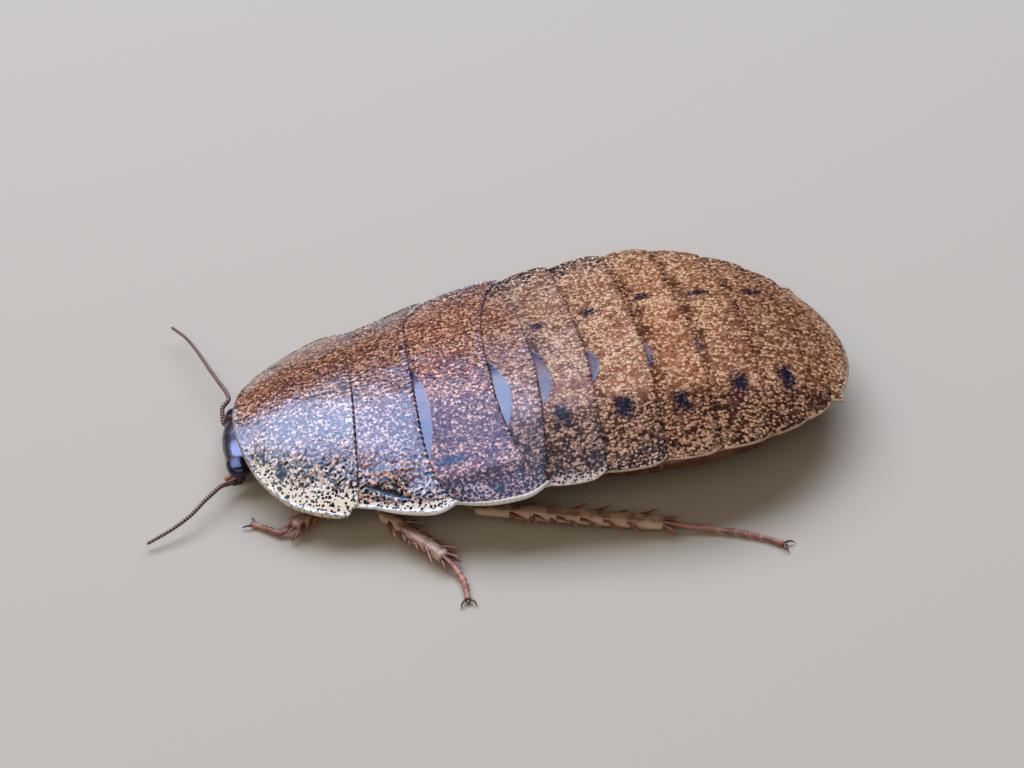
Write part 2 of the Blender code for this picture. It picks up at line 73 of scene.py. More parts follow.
def curve_through(points, places):
    """Values at many places on the smooth curve through a few (place, value) points."""
    knots = np.array([point[0] for point in points])
    values = np.array([point[1] for point in points])
    steps = np.diff(values) / np.diff(knots)
    slopes = np.concatenate(([steps[0]], np.zeros(len(steps) - 1), [steps[-1]]))
    for index in range(1, len(steps)):
        before, after = steps[index - 1], steps[index]
        if before * after > 0:
            slopes[index] = 2 * before * after / (before + after)
    places = np.clip(places, knots[0], knots[-1])
    index = np.clip(np.searchsorted(knots, places, side="right") - 1, 0, len(steps) - 1)
    span = knots[index + 1] - knots[index]
    t = (places - knots[index]) / span
    return ((2 * t**3 - 3 * t**2 + 1) * values[index]
            + (t**3 - 2 * t**2 + t) * span * slopes[index]
            + (3 * t**2 - 2 * t**3) * values[index + 1]
            + (t**3 - t**2) * span * slopes[index + 1])


def half_width(x):
    """Half breadth of the whole outline at places along the body."""
    round_front = np.sqrt(np.clip(1 - ((HOOD_SHOULDER - x) / HOOD_SHOULDER) ** 2, 0, 1))
    spread = np.sin(math.pi / 2 * np.clip((x - HOOD_SHOULDER) / (WIDEST_FROM - HOOD_SHOULDER), 0, 1))
    round_rear = np.sqrt(np.clip(1 - ((x - WIDEST_TO) / (BODY_LENGTH - WIDEST_TO)) ** 2, 0, 1))
    wide = HOOD_HALF_WIDTH + (HALF_WIDTH - HOOD_HALF_WIDTH) * spread
    wide = np.where(x < HOOD_SHOULDER, HOOD_HALF_WIDTH * round_front, wide)
    return np.where(x > WIDEST_TO, HALF_WIDTH * round_rear, wide)


def back_height(x, y):
    """Height of the domed back over points of the plan."""
    reach = np.clip(np.abs(y) / np.maximum(half_width(x), 0.01), 0, 1)
    low = curve_through(MARGIN, x)
    return low + (curve_through(CREST, x) - low) * (1 - reach ** 2.1)


def ease(low, high, values):
    """Rise smoothly from 0 to 1 as values go from low to high."""
    t = np.clip((values - low) / (high - low), 0, 1)
    return t * t * (3 - 2 * t)


def scatter(column, row, seed):
    """A repeatable number from 0 to 1 for each cell of a grid."""
    return np.modf(np.abs(np.sin(column * 127.1 + row * 311.7 + seed * 74.7) * 43758.5453))[0]


def granules(x, y, pitch, seed):
    """How close each place is to the middle of the nearest of many scattered granules."""
    column, row = np.floor(x / pitch), np.floor(y / pitch)
    nearest = np.full(np.shape(x), 9.0)
    for step_x in (-1, 0, 1):
        for step_y in (-1, 0, 1):
            near_x = column + step_x + scatter(column + step_x, row + step_y, seed)
            near_y = row + step_y + scatter(column + step_x, row + step_y, seed + 1)
            nearest = np.minimum(nearest, np.hypot(x / pitch - near_x, y / pitch - near_y))
    return 1 - ease(0.0, 0.8, nearest)


def drift(x, y, size, seed):
    """Soft, slow variation from -1 to 1 over patches of a given size."""
    column, row = np.floor(x / size), np.floor(y / size)
    across, along = ease(0, 1, x / size - column), ease(0, 1, y / size - row)
    near = scatter(column, row, seed) * (1 - across) + scatter(column + 1, row, seed) * across
    far = scatter(column, row + 1, seed) * (1 - across) + scatter(column + 1, row + 1, seed) * across
    return 2 * (near * (1 - along) + far * along) - 1


def patch(x, y, mark):
    """A soft oval mark on both sides of the midline: (x, y out, half length, half breadth)."""
    return np.exp(-((x - mark[0]) / mark[2]) ** 2 - ((np.abs(y) - mark[1]) / mark[3]) ** 2)


def linear(colour):
    """The linear value of an sRGB hex colour."""
    parts = [int(colour[place:place + 2], 16) / 255 for place in (1, 3, 5)]
    return (*[part / 12.92 if part <= 0.04045 else ((part + 0.055) / 1.055) ** 2.4
              for part in parts], 1.0)


def add_node(tree, kind, settings, inputs, output=0):
    """Add one node with its settings, give its inputs values or links, and hand on an output.
    Inputs stand in the order of the sockets, or by socket; a Mix node's colours are 6 and 7."""
    node = tree.nodes.new("ShaderNode" + kind)
    for setting, value in settings.items():
        setattr(node, setting, value)
    for socket, value in inputs.items() if isinstance(inputs, dict) else enumerate(inputs):
        if isinstance(value, bpy.types.NodeSocket):
            tree.links.new(value, node.inputs[socket])
        else:
            node.inputs[socket].default_value = value
    return node.outputs[output]


def new_finish(name, **values):
    """A material with its shader's own sockets set, and its node tree and place on the object."""
    finish = bpy.data.materials.new(name)
    finish.use_nodes = True
    tree = finish.node_tree
    shader = tree.nodes["Principled BSDF"]
    for socket, value in values.items():
        socket = socket.replace("_", " ").title().replace("Ior", "IOR")
        shader.inputs[socket].default_value = value
    place = add_node(tree, "TexCoord", {}, {}, "Object")
    return finish, tree, shader, place


FLECK = 0.145               # breadth of one granule, a little coarser than real so that it shows
DOT = 0.14                  # spacing of the dark pits, coarser in the same way
STAIN = 1.4                 # spacing of the soft stains under them
RAMP = {"interpolation_type": "SMOOTHSTEP"}
MIX = {"data_type": "RGBA"}
TIMES = {"operation": "MULTIPLY"}
TIMES_PLUS = {"operation": "MULTIPLY_ADD"}
PLUS = {"operation": "ADD"}
LESS = {"operation": "SUBTRACT"}
LARGER = {"operation": "MAXIMUM"}


def back_chitin(name, bloom, roughness, dry, coat, pits, **pigments):
    """Hardened chitin of the back, grown in fine granules: to the eye a close-grained mottle of
    pale flecks over a dark ground, matt in itself, with a thin wax on the flecks and the bare
    strips that takes the sky."""
    colours = {part: linear(colour) for part, colour in pigments.items()}
    finish, tree, shader, place = new_finish(name, ior=1.8, specular_ior_level=bloom,
                                             specular_tint=colours["wax"],
                                             coat_roughness=0.15, coat_ior=1.9)
    pale, dark, stain_and_shade, bare, lip, tick = [
        add_node(tree, "Attribute", {"attribute_name": tone}, {}, "Fac")
        for tone in ("pale", "dark", "stain_and_shade", "bare", "lip", "tick")]

    # Each granule is light or dark by chance, with dark gaps between them; more of them are
    # light where it is pale, and there the gaps close
    noise, stain = [add_node(tree, "TexNoise", {}, {"Vector": place, "Scale": 1 / (breadth * MM),
                                                    "Detail": 3.0, "Roughness": 0.6})
                    for breadth in (FLECK, STAIN)]
    shift = add_node(tree, "VectorMath", TIMES_PLUS,
                     (noise.node.outputs["Color"], (1.3 * FLECK * MM,) * 3, place))
    gap, pit = [add_node(tree, "TexVoronoi", {}, {"Vector": shift, "Scale": 1 / (spacing * MM)},
                         "Distance") for spacing in (FLECK, DOT)]
    chance, size = [add_node(tree, "SeparateColor", {}, (cell.node.outputs["Color"],))
                    for cell in (gap, pit)]
    hill = add_node(tree, "MapRange", RAMP, (gap, 0.33, 0.78, 1.0, 0.0))
    sway = add_node(tree, "MapRange", RAMP, (stain, 0.3, 0.7, -0.22, 0.22))
    chance = add_node(tree, "Math", PLUS, (chance, sway))
    chance = add_node(tree, "Math", TIMES_PLUS, (pale, 0.5, chance))
    lit = add_node(tree, "MapRange", RAMP, (chance, 0.05, 0.85))
    lit = add_node(tree, "Math", TIMES, (lit, hill))
    filled = add_node(tree, "MapRange", RAMP, (pale, 0.45, 0.85))
    lit = add_node(tree, "Math", LARGER, (lit, filled))
    deeper = add_node(tree, "MapRange", RAMP, (noise, 0.38, 0.56))
    base = add_node(tree, "Mix", MIX, {0: deeper, 6: colours["ground"], 7: colours["middle"]}, 2)
    # This tone darkens the ground to the deep colour and the flecks toward the middle colour: a stain
    # in places, and painted shade on the left side and under the plate edges
    base = add_node(tree, "Mix", MIX, {0: stain_and_shade, 6: base, 7: colours["deep"]}, 2)
    top = add_node(tree, "Mix", MIX, {0: pale, 6: colours["light"], 7: colours["cream"]}, 2)
    dimmed = add_node(tree, "MapRange", RAMP, (stain_and_shade, 0.0, 1.0, 0.0, 0.6))
    top = add_node(tree, "Mix", MIX, {0: dimmed, 6: top, 7: colours["middle"]}, 2)
    colour = add_node(tree, "Mix", MIX, {0: lit, 6: base, 7: top}, 2)

    # A patch can be tan between its gaps
    if "tan" in colours:
        tan = add_node(tree, "Attribute", {"attribute_name": "tan"}, {}, "Fac")
        rubbed = add_node(tree, "MapRange", RAMP, (noise, 0.36, 0.56, 0.15, 1.0))
        rubbed = add_node(tree, "Math", TIMES, (rubbed, tan))
        colour = add_node(tree, "Mix", MIX, {0: rubbed, 6: colour, 7: colours["tan"]}, 2)

    # Dark pits of every size, largest where the pale border gives way to the ground
    not_pale = add_node(tree, "Math", LESS, (1.0, pale))
    inner = add_node(tree, "Math", TIMES, (not_pale, pale))
    for amount, share in ((size, 0.22), (inner, -0.55), (not_pale, -0.07)):
        pit = add_node(tree, "Math", TIMES_PLUS, (amount, share, pit))
    dots = add_node(tree, "MapRange", RAMP, (pit, 0.42, 0.53, 1.0, 0.0))
    strong = add_node(tree, "MapRange", RAMP, (pale, 0.0, 0.5, pits, 1.0))
    dots = add_node(tree, "Math", TIMES, (dots, strong))
    covered = add_node(tree, "MapRange", RAMP, (bare, 0.0, 0.8, 1.0, 0.0))
    dots = add_node(tree, "Math", TIMES, (dots, covered))

    # Over them lie the bare strips, the scars with ragged edges, the small notches and the lip
    worn = add_node(tree, "MapRange", RAMP, (stain, 0.4, 0.6, 0.0, 0.35))
    # The bare strips' navy colour is partly a painted reflection of the sky
    skin = add_node(tree, "Mix", MIX, {0: worn, 6: colours["bare"], 7: colours["middle"]}, 2)
    ragged = add_node(tree, "MapRange", RAMP, (noise, 0.38, 0.62, 0.2, -0.2))
    ragged = add_node(tree, "Math", PLUS, (dark, ragged))
    ragged = add_node(tree, "MapRange", RAMP, (ragged, 0.2, 0.82))
    inside = add_node(tree, "MapRange", RAMP, (dark, 0.0, 0.3))
    ragged = add_node(tree, "Math", TIMES, (ragged, inside))
    for amount, layer in ((dots, colours["mark"]), (bare, skin), (ragged, colours["scar"]),
                          (tick, colours["mark"]), (lip, colours["lip"])):
        colour = add_node(tree, "Mix", MIX, {0: amount, 6: colour, 7: layer}, 2)
    tree.links.new(colour, shader.inputs["Base Color"])

    # The scars and the darkened sides, partly painted shade, are rough, the bare strips and the pale
    # border smooth. Wax shines on the flecks inland of the border, on no pit, and on the bare strips
    inland = add_node(tree, "MapRange", RAMP, (pale, 0.0, 0.35, 1.0, 0.0))
    dull = add_node(tree, "MapRange", RAMP, (ragged, 0.0, 1.0, roughness, 0.36))
    rough = add_node(tree, "MapRange", RAMP, (stain_and_shade, 0.0, 1.0, roughness, dry))
    rough = add_node(tree, "Math", LARGER, (rough, dull))
    even = add_node(tree, "Math", LARGER, (bare, pale))
    smooth = add_node(tree, "MapRange", RAMP, (even, 0.0, 1.0, 1.0, 0.6))
    rough = add_node(tree, "Math", TIMES, (rough, smooth))
    tree.links.new(rough, shader.inputs["Roughness"])
    waxed = add_node(tree, "Math", LESS, (lit, dots))
    waxed = add_node(tree, "MapRange", RAMP, (waxed, 0.0, 1.0, 0.0, coat))
    waxed = add_node(tree, "Math", TIMES, (waxed, inland))
    glaze = add_node(tree, "MapRange", RAMP, (bare, 0.0, 1.0, 0.0, 0.35))
    glaze = add_node(tree, "Math", LARGER, (glaze, waxed))
    tree.links.new(glaze, shader.inputs["Coat Weight"])
    flat = add_node(tree, "MapRange", RAMP, (even, 0.0, 1.0, 1.0, 0.12))
    grain = add_node(tree, "Math", TIMES_PLUS, (noise, 0.6, hill))
    grain = add_node(tree, "Math", TIMES, (grain, flat))
    grain = add_node(tree, "Math", TIMES_PLUS, (dots, -0.9, grain))
    for socket, strength, depth in (("Normal", 0.25, 0.02), ("Coat Normal", 0.4, 0.01)):
        bump = add_node(tree, "Bump", {}, {"Strength": strength, "Distance": depth * MM,
                                           "Height": grain})
        tree.links.new(bump, shader.inputs[socket])
    return finish


def add_piece(name, points, faces, finish, slot, nodes=(), tones=None):
    """A mesh piece that stands for solids of the frame. A tone holds one number per point."""
    mesh = bpy.data.meshes.new(name)
    placed = np.asarray(points, dtype=float) * MM + (TIP, MIDLINE, 0.0)
    mesh.from_pydata(placed.tolist(), [], faces)
    mesh.update()
    for tone, values in (tones or {}).items():
        layer = mesh.attributes.new(tone, "FLOAT", "POINT")
        layer.data.foreach_set("value", np.asarray(values, dtype=np.float32))
    mesh.shade_smooth()
    mesh.materials.append(finish)
    piece = bpy.data.objects.new(name, mesh)
    bpy.context.scene.collection.objects.link(piece)
    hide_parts(*nodes)
    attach(piece, "root")


def closed_sheet(top, bottom):
    """Points and faces of a thin closed shell from two grids of points, one over the other."""
    corner = np.arange(top.shape[0] * top.shape[1]).reshape(top.shape[:2])
    upper = np.stack((corner[:-1, :-1], corner[1:, :-1], corner[1:, 1:], corner[:-1, 1:]), axis=2)
    upper = upper.reshape(-1, 4)
    lower = upper[:, [0, 3, 2, 1]] + corner.size
    rim = np.concatenate((corner[0], corner[1:, -1], corner[-1, -2::-1], corner[-2:0:-1, 0]))
    after = np.roll(rim, -1)
    sides = np.stack((rim, after, after + corner.size, rim + corner.size), axis=1)
    points = np.concatenate((top.reshape(-1, 3), bottom.reshape(-1, 3)))
    return points, np.concatenate((upper, lower, sides)).tolist()


SHELL = 0.17                # thickness of a plate
EDGE_ROUND = 0.05           # how far its edges are rounded
GRANULE = 0.21              # spacing of the raised granules
GRANULE_HEIGHT = 0.013


def shell_plate(name, node, x, y, rise, edge, finish, slot, tones):
    """A back plate from its grid of plan places: rise is its height over the smooth back, and
    edge the distance to its nearest free edge."""
    grain = granules(x, y, GRANULE, 3) - 0.5 + 0.5 * drift(x, y, 0.5, 8)
    swell = 0.04 * drift(x, y, 2.1, 5) + 0.02 * drift(x, y, 0.9, 6)
    relief = (GRANULE_HEIGHT * grain + swell) * (1 - tones.get("bare", 0.0))
    turn = 1 - np.clip(edge / EDGE_ROUND, 0, 1)
    rounding = EDGE_ROUND * (1 - np.sqrt(np.clip(1 - turn ** 2, 0, 1)))
    z = back_height(x, y) + rise
    top = np.stack((x, y, z + relief * ease(0, 0.1, edge) - rounding), axis=2)
    thick = SHELL * (0.6 + 0.4 * ease(0.1, 0.8, edge))
    bottom = np.stack((x, y, z - thick + rounding), axis=2)
    points, faces = closed_sheet(top, bottom)
    layers = {tone: np.tile(np.clip(values, 0, 1).ravel(), 2) for tone, values in tones.items()}
    add_piece(name, points, faces, finish, slot, (node,), layers)


def plate_grid(rows, columns, reach=1.0):
    """Grids of a plate's places: the share across the back, and the share from front to rear."""
    return np.meshgrid(np.linspace(-reach, reach, columns + 1), np.linspace(0, 1, rows + 1))


def rear_edge(edge, across):
    """Place of a plate's rear edge from its place on the midline, at the side, and its bend."""
    middle, side, bend = edge
    return middle + (side - middle) * np.abs(across) ** bend


TEETH = 0.3                 # spacing of the small teeth along a plate's rear edge
TOOTH = 0.05                # how far they stand out


def teeth(y, seed):
    """The row of small teeth along a rear edge, from 0 between them to 1 on their tips."""
    sway = 0.6 * drift(y, y * 0.0 + seed, 0.8, seed) + 0.3 * drift(y, y * 0.0, 0.35, seed + 3)
    return 0.5 + 0.5 * np.cos(2 * math.pi * (y / TEETH + sway))


def notches(tooth, y, from_rear, seed):
    """The dark notches between the teeth, of uneven length and strength."""
    size = 0.5 + 0.5 * drift(y, y * 0.0, 0.45, seed + 7)
    return (1 - tooth) ** 2 * ease(0.16 + 0.22 * size, 0.03, from_rear) * (0.35 + 0.65 * size)


# Marks on each side of the hood: place, half length and half breadth
HOOD_PALE = (1.72, 2.95, 0.2, 0.18)
HOOD_SCAR = (1.9, 3.6, 0.33, 0.4)

BORDER = (0.3, 1.6)         # breadth of the cream border in front, and what it gains at the side
HOOD_CORNER = 0.45          # how far the two rear corners are rounded in

hood_chitin = back_chitin("chitin_of_pronotum", bloom=0.7, roughness=0.15, dry=0.15, coat=0.5,
                          pits=0.9, wax="#b4d8f2", ground="#44160a", middle="#843f20",
                          light="#e0a276", cream="#fff0d8", deep="#240d07", mark="#0a0404",
                          bare="#21171b", scar="#0d0c1c", lip="#a8947e")

across, along = plate_grid(96, 250)
y = across * half_width(np.array(HOOD_REAR[1]))
hood_front = HOOD_SHOULDER * (1 - np.sqrt(1 - (y / HOOD_HALF_WIDTH) ** 2))
hood_front = np.minimum(hood_front, HOOD_REAR[1] - 0.5)
hood_rear = rear_edge(HOOD_REAR, across)
hood_teeth = teeth(y, 1)
x = hood_front + (hood_rear - hood_front) * along
from_rear = hood_rear - x
x = x + TOOTH * hood_teeth * ease(0.3, 0.0, from_rear) * ease(6.2, 5.2, np.abs(y))
drawn = HOOD_CORNER * ease(1.0, 0.0, from_rear) ** 2
y = y - np.sign(across) * drawn * np.abs(across) ** 14
radial = np.hypot((HOOD_SHOULDER - x) / HOOD_SHOULDER, y / HOOD_HALF_WIDTH)
from_front = (1 - radial) * 5.9
edge = np.minimum(from_front, from_rear)
border_width = ease(0.8, 4.6, np.abs(y)) * np.where(y > 0, 0.4, 1.0)
border_width = BORDER[0] + BORDER[1] * border_width
border = ease(1.6, 0.2, (from_front + 0.4 * drift(x, y, 0.7, 2)) / border_width)
border = border * (0.15 + 0.85 * ease(1.2, 3.6, -y) + 0.15 * ease(1.2, 3.6, y))
hood_lip = ease(0.11, 0.04, from_front)
hood_rise = 0.1 * along ** 3 + 0.04 * ease(0.18, 0.06, from_front) * ease(0.0, 0.05, from_front)
pale_spots = patch(x, y, HOOD_PALE)
shell_plate("pronotum_shell", "pronotum", x, y, hood_rise, edge, hood_chitin,
            "pronotum_chitin", {
                "pale": np.maximum(0.88 * border, 0.7 * pale_spots),
                "dark": patch(x, y, HOOD_SCAR),
                "stain_and_shade": 0.35 * ease(0.2, 0.9, drift(x, y, 2.6, 9)) * (y > -1),
                "lip": 0.6 * hood_lip,
                "tick": 0.8 * notches(hood_teeth, y, from_rear, 1),
            })

# Mesonotum and metanotum: the shields of the two wing-bearing segments, though this animal has
# no wings. Each is one plate of hardened chitin with a flat lobe at each side, and its front
# slides under the plate before it, where it stays smooth and shining.

THORAX_REAR = {"mesonotum": (7.8, 8.9, 5.0), "metanotum": (11.15, 12.6, 2.8)}
LOBE_FRONT = 0.42           # how far the corners of its side lobes are drawn in
LOBE_REAR = 0.42
LOBE_CORNER = 0.3           # share of its side that a lobe's rear corner takes
TUCK = 0.7                  # how far a plate's front slides under the plate before it
LIFT_REAR = 0.1             # how far its rear stands proud of the smooth back
SINK_FRONT = 0.27           # how far its front lies below it

# Marks on the side lobes: a groove by its two ends, a patch by its place, half length and half
# breadth. The tan patch, the brown round it and the metanotum's scar are on the left alone
SLIT = ((5.35, 5.2), (7.0, 6.15))
ARC = ((5.35, 4.72), (7.15, 4.98))
PAD = (6.15, 5.25, 0.75, 0.3)
TAN_PATCH = (6.17, 5.06, 0.6, 0.22)
BROWN_PATCH = (6.17, 5.06, 0.65, 0.26)
MESO_STAIN = (7.2, 5.4, 0.9, 0.35)
META_SCAR = (8.8, 5.0, 0.75, 0.3)
META_PALE = (9.9, 6.6, 0.8, 0.45)
BEAD = 0.24                 # spacing of the beads on the metanotum's lip


def band_plan(ahead, rear, lobed, reach, rows, columns, seed):
    """The plan of a plate that runs across the back from under the plates ahead of it to its
    own toothed rear edge: the grid, and how far each place lies from those edges."""
    across, along = plate_grid(rows, columns, reach)
    shown = np.max([rear_edge(edge, across) for edge in ahead], axis=0)
    back = rear_edge(rear, across)
    front = shown - TUCK
    x = front + (back - front) * along
    own = np.clip((x - shown) / (back - shown), 0, 1)
    corner = np.clip(own - 1 + LOBE_CORNER, 0, 1) / LOBE_CORNER
    drawn = lobed * (LOBE_FRONT * (1 - own) ** 3 + LOBE_REAR * corner ** 2)
    drawn = drawn + 0.35 * ease(0.0, -TUCK, x - shown)
    y = across * half_width(x) - np.sign(across) * drawn * np.abs(across / reach) ** 12
    tooth = teeth(y, seed)
    from_rear = back - x
    from_side = (reach - np.abs(across)) * half_width(x)
    x = x + TOOTH * (tooth - 0.5) * ease(0.35, 0.0, from_rear) * ease(0.0, 0.5, from_side)
    return {"x": x, "y": y, "along": own, "behind": x - shown, "from_rear": from_rear,
            "from_side": from_side, "tooth": tooth}


def band_rise(plan, lift=LIFT_REAR):
    """Height of a plate over the smooth back: sunk in front, proud and toothed behind."""
    sunk = -SINK_FRONT * ease(0.15, -TUCK, plan["behind"]) - 0.04 * ease(0.9, 0.0, plan["behind"])
    ridges = 0.03 * (plan["tooth"] - 0.4) * ease(0.45, 0.1, plan["from_rear"])
    return sunk + lift * plan["along"] ** 3 + ridges * ease(0.1, 0.5, plan["from_side"])


def bare_strip(plan, breadth, middle, reach):
    """The smooth strip just behind the plate ahead, placed on the left alone. Its navy colour there is
    partly a painted reflection of the sky, which shows on that side."""
    out = (plan["y"] - middle) / reach
    width = breadth * (1 - out ** 2)
    return ease(0.07, -0.05, plan["behind"] - width) * ease(1.1, 0.9, np.abs(out))


def groove(x, y, start, end, breadth):
    """How deep each place lies in a narrow groove between two places, on both sides."""
    run = np.subtract(end, start)
    share = ((x - start[0]) * run[0] + (np.abs(y) - start[1]) * run[1]) / run.dot(run)
    share = np.clip(share, 0, 1)
    away = np.hypot(x - start[0] - share * run[0], np.abs(y) - start[1] - share * run[1])
    wide = breadth * (0.35 + 0.65 * np.sin(math.pi * np.clip(share, 0.05, 0.95)))
    return np.exp(-(away / wide) ** 2)


# The navy colour of the bare strips here and on the tergites is partly a painted reflection of the sky
meso_chitin = back_chitin("chitin_of_mesonotum", bloom=0.54, roughness=0.15, dry=0.6, coat=0.46,
                          pits=0.85, wax="#a2ccf2", ground="#431a0c", middle="#824226",
                          light="#da9f78", cream="#f8ecdc", deep="#6c3418", tan="#f0a04c",
                          mark="#0a0404", bare="#222848", scar="#0d0c1c", lip="#e4dccf")
meta_chitin = back_chitin("chitin_of_metanotum", bloom=0.3, roughness=0.16, dry=0.7, coat=0.25,
                          pits=0.85, wax="#9cc4fa", ground="#4c2012", middle="#914e33",
                          light="#e3a980", cream="#ece6dc", deep="#220f0c",
                          mark="#0a0404", bare="#222848", scar="#0d0c1c", lip="#e4dccf")

meso = band_plan((HOOD_REAR,), THORAX_REAR["mesonotum"], 1.0, 1.0, 72, 270, 11)
x, y, side_gap = meso["x"], meso["y"], meso["from_side"]
slit = groove(x, y, *SLIT, 0.11)
arc = groove(x, y, *ARC, 0.13)
meso_border = 0.62 * ease(2.2, 0.9, side_gap + 0.5 * drift(x, y, 0.6, 4))
cream_rim = ease(0.8, 0.3, side_gap + 0.25 * drift(x, y, 0.4, 6))
meso_border = np.maximum(meso_border, cream_rim)
shell_plate("mesonotum_shell", "mesonotum", x, y,
            band_rise(meso) + 0.09 * patch(x, y, PAD) - 0.15 * slit + 0.05 * arc
            + 0.04 * ease(0.2, 0.08, side_gap) * ease(0.0, 0.06, side_gap),
            np.minimum(meso["from_rear"], side_gap), meso_chitin, "thorax_chitin", {
                "pale": np.maximum(np.where(y > 0, 0.3, 0.9) * meso_border, 0.5 * arc),
                "dark": np.maximum(slit, 0.55 * patch(x, y, MESO_STAIN)),
                "stain_and_shade": patch(x, y, BROWN_PATCH) * (y < 0),
                "tan": 0.95 * patch(x, y, TAN_PATCH) * (y < 0),
                "bare": bare_strip(meso, 0.1, -2.0, 2.5),
                "lip": np.where(y > 0, 0.45, 0.8) * ease(0.13, 0.05, side_gap),
                "tick": notches(meso["tooth"], y, meso["from_rear"], 11),
            })

meta = band_plan((THORAX_REAR["mesonotum"],), THORAX_REAR["metanotum"], 1.0, 1.0, 80, 280, 12)
x, y, side_gap = meta["x"], meta["y"], meta["from_side"]
# Painted shade: the side lobes, the left one most, and the left half of the plate are darkened
lobe_shade = ease(5.3, 6.0, np.abs(y)) * np.where(y > 0, 0.15, 0.8)
beads = 0.5 + 0.5 * np.cos(2 * math.pi * x / BEAD)
thick_lip = ease(0.2, 0.12, side_gap)
speckled = ease(2.0, 0.8, side_gap + 0.5 * drift(x, y, 0.6, 8))
speckled = 0.42 * speckled + 0.3 * patch(x, y, META_PALE)
shell_plate("metanotum_shell", "metanotum", x, y,
            band_rise(meta) + (0.06 + 0.04 * beads) * thick_lip * ease(0.0, 0.1, side_gap),
            np.minimum(meta["from_rear"], side_gap), meta_chitin, "thorax_chitin", {
                "pale": np.where(y > 0, 0.45, 1.0) * speckled,
                "dark": patch(x, y, META_SCAR) * (y < 0),
                "stain_and_shade": np.maximum(lobe_shade, 0.38 * ease(0.4, 2.6, -y)),
                "bare": bare_strip(meta, 0.55, -2.1, 2.9),
                "lip": thick_lip * (0.75 + 0.25 * beads) * np.where(y > 0, 0.5, 1.0),
                "tick": notches(meta["tooth"], y, meta["from_rear"], 12),
            })

# Abdominal tergites: seven overlapping half rings of hardened chitin, hinged by soft folds of
# skin beneath, so that each slides under the one before it. Pale flecks crowd their side
# margins, and a dark muscle scar sits on each side of the front.

ABDOMEN_REAR = {
    "tergite_1": (13.1, 12.35, 2.0),
    "tergite_2": (15.42, 14.95, 1.3),
    "tergite_3": (17.92, 17.42, 1.6),
    "tergite_4": (20.15, 19.7, 1.6),
    "tergite_5": (22.5, 22.0, 1.6),
    "tergite_6": (24.7, 23.8, 1.6),
    "tergite_7": (25.9, 25.1, 1.6),
}
TERGITE_LOBES = (0.0, 0.9, 0.8, 0.6, 0.45, 0.35, 0.3)
LIFTS = (0.1, 0.1, 0.08, 0.06, 0.05, 0.05, 0.05)
FIRST_REACH = 0.94          # the first tergite ends under the lobes of the metanotum

# The bare strips lie on the left alone, where their navy colour stands partly for a painted reflection
# of the sky
# The bare strip in front of each: its breadth, the middle of its reach, and half its reach
STRIPS = ((0.65, -1.7, 2.2), (0.6, -1.1, 2.0), (0.45, -0.8, 1.2), (0.25, -0.8, 1.0),
          (0.1, -0.8, 0.8), (0.0, 0.0, 1.0), (0.0, 0.0, 1.0))

# The muscle scars: place on the left and on the right, and half length and half breadth there
SCARS = {
    "tergite_2": ((13.75, 3.75), (13.7, 2.45)),
    "tergite_3": ((16.3, 3.9), (16.1, 2.9)),
    "tergite_4": ((18.75, 4.15), (18.6, 3.3)),
    "tergite_5": ((21.35, 3.55), (21.1, 3.0)),
    "tergite_6": ((23.45, 3.4), (23.5, 2.85)),
}
NO_SCARS = ((0.0, 99.0), (0.0, 99.0))
LEFT_SCAR = (0.42, 0.85)
RIGHT_SCAR = (0.5, 0.32)

first_chitin = back_chitin("chitin_of_first_tergite", bloom=0.26, roughness=0.18, dry=0.6,
                           coat=0.2, pits=0.4, wax="#acd0f8", ground="#50261a",
                           middle="#865037", light="#d3a480", cream="#ece0cc", deep="#1e0b06",
                           mark="#0d0605", bare="#222848", scar="#0f0d19", lip="#d8cab4")
second_chitin = back_chitin("chitin_of_second_tergite", bloom=0.13, roughness=0.3, dry=0.75,
                            coat=0.06, pits=0.3, wax="#b8d2fa", ground="#5c3220",
                            middle="#93603f", light="#dab38f", cream="#ece0cc", deep="#1e0b06",
                            mark="#0d0605", bare="#222848", scar="#0f0d1b", lip="#d8cab4")
third_chitin = back_chitin("chitin_of_third_tergite", bloom=0.045, roughness=0.4, dry=0.75,
                           coat=0.02, pits=0.25, wax="#d0e0ff", ground="#5f3521",
                           middle="#9b6240", light="#deb68f", cream="#e9d9bf", deep="#220c07",
                           mark="#0d0605", bare="#242a4a", scar="#0e0c1c", lip="#cebb9e")
hind_chitin = back_chitin("chitin_of_hind_tergites", bloom=0.02, roughness=0.45, dry=0.75,
                          coat=0.02, pits=0.25, wax="#e0ecff", ground="#64361d",
                          middle="#9a5f39", light="#d8ad84", cream="#e6d2b2", deep="#260d08",
                          mark="#0d0504", bare="#262c4c", scar="#0e0b1e", lip="#c4a987")
tergite_chitin = [first_chitin, second_chitin, third_chitin] + 4 * [hind_chitin]

